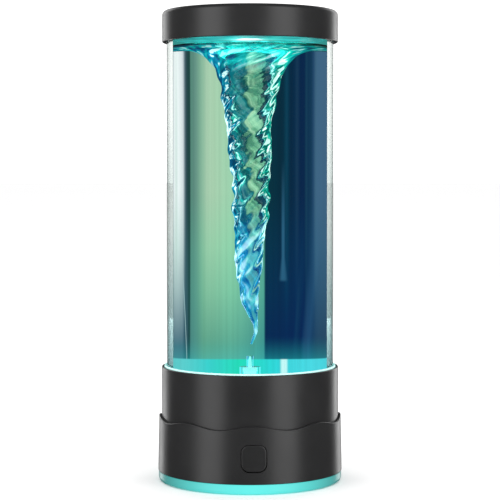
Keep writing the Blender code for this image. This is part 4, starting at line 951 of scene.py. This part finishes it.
def vortex_mesh(finish):
    """The air's surface as a grid of rows down the vortex, set out by a rule with Geometry Nodes."""
    sizes = {
        "Level": WATER_LEVEL,
        "Depth": VORTEX_DEPTH,
        "Tip radius": 0.5 * MM,
        "Shoulder": 8.0 * MM,
        "Flare radius": 4.2 * MM,
        "Flare depth": 62.0 * MM,
        "Calm depth": 70.0 * MM,
        "Twist pitch": TWIST_PITCH,
        "Sway": 0.6 * MM,
        "Sway pitch": 96.0 * MM,
        "Hook": 2.3 * MM,
        "Lobe share": 0.045,
        "Braid share": 0.05,
        "Bead share": 0.05,
        "Bead pitch": 14.4 * MM,
        "Ripple": 0.28 * MM,
    }
    tree, size, values = rule("vortex", sizes, takes_mesh=False)
    rows = {"Size X": 1.0, "Size Y": 1.0, "Vertices X": VORTEX_ROWS, "Vertices Y": VORTEX_SIDES + 1}
    grid = add(tree, "GeometryNodeMeshGrid", rows).outputs["Mesh"]
    spot = parts_of(Reading(add(tree, "GeometryNodeInputPosition").outputs[0]))
    down = (Reading(spot["X"]) + 0.5) * 5.0
    turn = Reading(spot["Y"]) * (2 * pi)

    # A fifth of the rows takes the first 10 mm in steps that grow, and the rest are even.
    rope_part = (down - 1.0).at_least(0.0) * ((VORTEX_DEPTH - GROWING) / 4 * 0.9995)
    depth = GROWN ** down.at_most(1.0) * FIRST_STEP + rope_part
    fallen = depth / size["Depth"]
    height = size["Level"] - depth

    # The radius is a core that tapers and a flare under the surface, drawn thin at the hooked tip.
    core = (size["Shoulder"] - size["Tip radius"]) * (1.0 - fallen**3.3) + size["Tip radius"]
    flare = sums(tree, "LOGARITHM", (size["Flare depth"] / depth) ** 1.5 + 1.0, 2.718282)
    end = ((0.935 - fallen) * 14.0).at_most(1.0).at_least(0.0)
    whole = (core + flare * size["Flare radius"]) * (end * 0.6 + 0.4)
    hook = (1.0 - end) * ((1.0 - fallen) * 25.0).at_most(1.0) * size["Hook"]

    # Five lobes, a braid of two strands and beads turn with the twist, and fade at both ends.
    twist = turn - height / size["Twist pitch"] * (2 * pi)
    bead = depth / size["Bead pitch"] * (2 * pi)
    lobes = (twist * 5.0 + (bead / 5.0).sine()).cosine() * size["Lobe share"]
    braids = (twist * 2.0).cosine() * size["Braid share"]
    bulges = (bead + twist).sine() * size["Bead share"]
    fade = ((1.0 - fallen) * 4.0).at_most(depth / size["Calm depth"]).at_most(1.0)
    smooth = whole * ((lobes + braids + bulges) * fade + 1.0)
    curls = noise(vector(tree, X=twist.cosine(), Y=twist.sine(), Z=depth * 40.0), 2.0, 0.6)
    ripple = (curls - 0.5) * 4.0 * size["Ripple"] * (whole / (9 * MM)).at_most(1.0)
    radius = (smooth + ripple * (depth / (8 * MM)).at_most(1.0)).at_least(0.35 * MM)
    sway = (depth / (40 * MM)).at_most(1.0) * size["Sway"]
    swing = depth / size["Sway pitch"] * (2 * pi)
    x = radius * turn.cosine() + swing.cosine() * sway + hook
    y = radius * turn.sine() + swing.sine() * sway
    moved = {"Geometry": grid, "Position": vector(tree, X=x, Y=y, Z=height)}
    moved = add(tree, "GeometryNodeSetPosition", moved).outputs[0]
    joined = add(tree, "GeometryNodeMergeByDistance", {"Geometry": moved, "Distance": 0.001 * MM}).outputs[0]
    holder = shown("vortex", bmesh.new())
    follow(holder, tree, values, joined, finish)
    made = bmesh.new()
    made.from_mesh(holder.data)
    bpy.data.objects.remove(holder)
    return made


def coiled(place, stretch, detail):
    """Noise that is wound with the vortex's twist."""
    coil = height_at(place) * (-2 * pi / TWIST_PITCH)
    wound = {"Vector": place, "Angle": coil}
    wound = add(place.tree, "ShaderNodeVectorRotate", wound, rotation_type="Z_AXIS")
    return noise(vectors("MULTIPLY", Reading(wound.outputs[0]), stretch), 1.0, detail)


def painted_vortex_light(place):
    """Painted light on the air's rippled surface, standing in for the lamps' light it scatters and the tank
    it mirrors, and a painted tint of what shows through it.
    """
    depth = WATER_LEVEL - height_at(place)
    curls = coiled(place, (150, 150, 48), 2.0)
    # Painted light: a faint green glow on the side away from the front, a blue glow low down, and painted
    # reflections of the lit tank in swirls just under the rim.
    greens = ramp(curls, ((0.40, (0, 0.02, 0.02)), (0.54, (0.01, 0.05, 0.03)), (0.62, (0.06, 0.12, 0.07))))
    blues = ramp(curls, (
        (0.4, (0.0, 0.02, 0.08)), (0.47, (0.0, 0.07, 0.2)), (0.53, (0.01, 0.2, 0.34)),
        (0.58, (0.03, 0.32, 0.36)), (0.66, (0.55, 0.8, 0.9)),
    ))
    swirls = ramp(curls, (
        (0.36, (0.0, 0.03, 0.05)), (0.42, (0.01, 0.06, 0.2)), (0.46, (0.0, 0.12, 0.12)),
        (0.52, (0.0, 0.34, 0.32)), (0.6, (0.0, 0.46, 0.42)), (0.66, (0.5, 0.8, 0.8)),
    ))
    # Painted shade and light in the tint of what shows through the air: darker and paler curls, bluer low
    # down.
    tints = ramp(curls, ((0.42, (0.04, 0.16, 0.12)), (0.50, (0.30, 0.55, 0.42)), (0.57, (0.90, 1.0, 0.94))))
    deep = ramp(curls, ((0.42, (0.01, 0.04, 0.12)), (0.52, (0.10, 0.40, 0.45)), (0.60, (0.80, 1.0, 1.0))))
    behind = spread((turn_at(place) - radians(95)).cosine(), 0.3, 0.8, 0.0, 1.0)
    below = spread(depth, 10 * MM, 24 * MM, 0.0, 1.0)
    veil = behind * below * spread(depth, 110 * MM, 165 * MM, 1.0, 0.0)
    low = spread(depth, 105 * MM, 130 * MM, 0.0, 0.8) * spread(depth, 195 * MM, 197 * MM, 1.0, 0.0)
    under_rim = spread(depth, 0.15 * MM, 0.5 * MM, 0.0, 0.85) * spread(depth, 9 * MM, 17 * MM, 1.0, 0.0)
    glow = blended(low, blended(veil, (0, 0, 0, 1), greens), blues)
    tint = blended(low, blended(veil, WATER, tints), (0.20, 0.40, 0.50, 1))
    return blended(under_rim, glow, swirls), blended(under_rim, tint, deep)


wet_wall, tree, place = bare_finish("water against the wall")
feed(tree.nodes["Material Output"], {"Surface": wetted(tree, WATER, WATER, WATER_IOR)})
water_finish, tree, shader, place = clear_finish("lamp water", WATER, WATER_IOR)
glow, tint = painted_vortex_light(place)
height = height_at(place)
under_funnel = spread(height, WATER_LEVEL - 30 * MM, WATER_LEVEL - 8 * MM, 1.0, 0.0)
ridged = under_funnel * spread(height, 89 * MM, 92 * MM, 0.0, 1.0)
ridges = {"Strength": ridged, "Distance": 3.6 * MM, "Height": coiled(place, (130, 130, 48), 0.7)}
bump = add(tree, "ShaderNodeBump", ridges).outputs[0]
feed(shader, {"Base Color": tint, "Emission Color": glow, "Emission Strength": 1.0, "Normal": bump})
surface_finish, tree, place = bare_finish("water's surface")
# Painted shade on the surface's mirror: from 23 to 33 mm out its tint turns from the water's to dark teal,
# and the air's painted glow shines on it too.
outwards = spread(radius_at(place), 23 * MM, 33 * MM, 0.0, 1.0)
mirror = blended(outwards, WATER, (0.14, 0.42, 0.38, 1))
glow, tint = painted_vortex_light(place)
shine = add(tree, "ShaderNodeEmission", {"Color": glow}).outputs[0]
both = add(tree, "ShaderNodeAddShader", {0: wetted(tree, tint, mirror, WATER_IOR), 1: shine}).outputs[0]
feed(tree.nodes["Material Output"], {"Surface": both})
water_mesh = vortex_mesh(water_finish)
open_edges = [edge for edge in water_mesh.edges if edge.is_boundary]
highest = max(edge.verts[0].co.z for edge in open_edges)
tip = [edge for edge in open_edges if edge.verts[0].co.z < highest - 10 * MM]
bmesh.ops.contextual_create(water_mesh, geom=tip)
upper = [edge.verts[0] for edge in open_edges if edge.verts[0].co.z > highest - 10 * MM]
upper.sort(key=lambda vertex: Vector((1, 0)).angle_signed(vertex.co.xy, 0))


def water_ring(radius, height):
    """A ring of the water's own corners, in step with the vortex's rim."""
    rim = []
    for vertex in upper:
        flat = vertex.co.xy.normalized()
        rim.append(water_mesh.verts.new((flat.x * radius, flat.y * radius, height)))
    return rim


# The rest of the water's skin, from the rim out to the wall, down it, and in to the hollow round the
# impeller, as radii and heights in millimetres.
rings = [upper]
for radius, height in (
    (47.6, 285.24), (49.2, 285.30), (49.6, 285.32), (50.1, 285.42), (50.5, 285.66), (50.95, 286.0),
    (50.95, 285.8), (50.95, 62.1), (50.95, 61.9), (14.5, 61.9), (14.5, 68.0), (5.3, 68.0), (5.3, 76.1),
    (1.8, 76.1), (1.8, 83.1),
):
    rings.append(water_ring(radius * MM, height * MM))
for near, far in zip(rings, rings[1:]):
    for place, corner in enumerate(near):
        after = (place + 1) % len(near)
        water_mesh.faces.new((corner, near[after], far[after], far[place]))
top = water_mesh.verts.new((0, 0, 83.6 * MM))
for place, corner in enumerate(rings[-1]):
    water_mesh.faces.new((corner, rings[-1][(place + 1) % len(upper)], top))
bmesh.ops.recalc_face_normals(water_mesh, faces=water_mesh.faces)
water = shown("swirling_water", water_mesh, 50)
wear(water, water_finish, wet_wall, surface_finish)
for face in water.data.polygons:
    radius = face.center.xy.length
    if radius > 50.5 * MM:
        face.material_index = 1
    elif radius > 21 * MM and face.center.z > WATER_LEVEL - 12 * MM:
        face.material_index = 2
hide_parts("water")
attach(water, "water_body")


# Cap: a black moulding that drops over the tube's end. A gasket rests on the tube, and a white plug hangs
# inside, whose dished underside shows the lamps' light thrown back down into the water as painted light.
CAP_LOW = 289.1 * MM
CAP_HIGH = 309.6 * MM
CAP_R = 58.0 * MM
CAP_BORE_R = 55.3 * MM
CAP_ROOF = 306.5 * MM
PLUG_LOW = 290.6 * MM
PLUG_HIGH = 306.2 * MM
PLUG_FLOOR = 293.3 * MM
PLUG_R = 50.7 * MM
PLUG_BORE_R = 49.2 * MM
DISH_R = 14 * MM
cap = lathe("black_cap", [
    (0, CAP_HIGH, 0), (CAP_R, CAP_HIGH, 2.8 * MM), (CAP_R, CAP_LOW, 0.6 * MM),
    (CAP_BORE_R, CAP_LOW, 0.3 * MM), (CAP_BORE_R, CAP_ROOF, 0.4 * MM), (0, CAP_ROOF, 0),
], LATHE_SIDES, 7)
wear(cap, black_plastic)
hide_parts("top_cap")
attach(cap, "cap")

# The plug's glow is painted light: a painted reflection of the lamps, white at the dish's centre and teal
# outwards, in clouds.
plug_finish, shader, place = lit("reflector with painted glow", (0.30, 0.48, 0.47), (0.02, 0.70, 0.66))
radius = radius_at(place)
spot = ramp(radius / (50 * MM), (
    (0.1, (1.0, 1.0, 1.0)), (0.2, (0.16, 0.7, 0.62)), (0.4, (0.02, 0.38, 0.33)),
    (0.9, (0.01, 0.2, 0.2)),
))
lamp = spread(radius, 6 * MM, 14 * MM, 2.0, 0.9)
cloudy_painted_glow = lamp * spread(noise(place, 55.0, 1.0), 0.35, 0.65, 0.45, 1.5)
feed(shader, {"Emission Color": spot, "Emission Strength": cloudy_painted_glow})
plug = lathe("cap_plug", [
    (0, 291.8 * MM, 0), (DISH_R, PLUG_LOW, 3 * MM), (PLUG_R, PLUG_LOW, 0.5 * MM),
    (PLUG_R, PLUG_HIGH, 0.2 * MM), (PLUG_BORE_R, PLUG_HIGH, 0.2 * MM),
    (PLUG_BORE_R, PLUG_FLOOR, 0.5 * MM), (0, PLUG_FLOOR, 0),
])
wear(plug, plug_finish)
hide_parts("cap_reflector")
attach(plug, "cap")

clear_rubber = moulded("clouded silicone", (0.58, 0.63, 0.63), 0.55, 500.0, 0.00004)
wear(nodes["cap_gasket"], clear_rubber)


# Studio: a pale floor that runs out of sight, broad soft lights to both sides, and narrow ones behind that
# draw the bright edges of the housings.
floor_mesh = bmesh.new()
bmesh.ops.create_circle(floor_mesh, cap_ends=True, radius=30, segments=64)
floor = shown("studio_floor", floor_mesh)
pale, tree, shader, place = finish_of("pale floor")
feed(shader, {"Base Color": (0.9, 0.9, 0.9, 1), "Roughness": 0.7})
wear(floor, pale)
floor.visible_glossy = False
floor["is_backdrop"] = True

world = bpy.data.worlds.new("studio")
world.use_nodes = True
bpy.context.scene.world = world
tree = world.node_tree
path = add(tree, "ShaderNodeLightPath").outputs
mirrored = Reading(path["Is Glossy Ray"]) * path["Is Reflection Ray"]
feed(tree.nodes["Background"], {"Color": (1, 1, 1, 1), "Strength": 1.30 - mirrored * 1.22})

unlit = bpy.data.collections.new("clear pieces")
for piece in (tube, water):
    unlit.objects.link(piece)
for link in unlit.collection_objects:
    link.light_linking.link_state = "EXCLUDE"

# The camera's turn and fall in degrees, and its distance and height in metres.
VIEW_TURN = -2.4
VIEW_FALL = 1.7
VIEW_FAR = 1.098
VIEW_HIGH = 0.2035
AIM = Vector((0, 0, 0.155))
for name, azimuth, distance, width, height, strength in (
    ("left softbox", -50, 1.2, 0.75, 1.3, 7.0),
    ("right softbox", 43, 1.2, 0.75, 1.3, 7.0),
    ("left edge light", -146, 1.2, 0.40, 1.3, 4.0),
    ("right edge light", 146, 1.2, 0.40, 1.3, 4.0),
):
    light = bpy.data.lights.new(name, "AREA")
    light.shape = "RECTANGLE"
    light.size = width
    light.size_y = height
    light.energy = strength
    lamp = bpy.data.objects.new(name, light)
    turn = radians(azimuth + VIEW_TURN)
    lamp.location = AIM + distance * Vector((sin(turn), -cos(turn), 0.12))
    lamp.rotation_euler = (AIM - lamp.location).to_track_quat("-Z", "Y").to_euler()
    lamp.visible_camera = False
    lamp.visible_transmission = False
    lamp.light_linking.receiver_collection = unlit
    bpy.context.scene.collection.objects.link(lamp)

camera_data = bpy.data.cameras.new("camera")
camera_data.lens = 119.3
camera_data.sensor_width = 36
camera_data.shift_y = -0.057
camera = bpy.data.objects.new("camera", camera_data)
turn = radians(VIEW_TURN)
camera.location = (VIEW_FAR * sin(turn), -VIEW_FAR * cos(turn), VIEW_HIGH)
camera.rotation_euler = (radians(90 - VIEW_FALL), 0, turn)
bpy.context.scene.collection.objects.link(camera)
bpy.context.scene.camera = camera
bpy.context.scene.view_settings.view_transform = "Standard"

low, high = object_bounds()
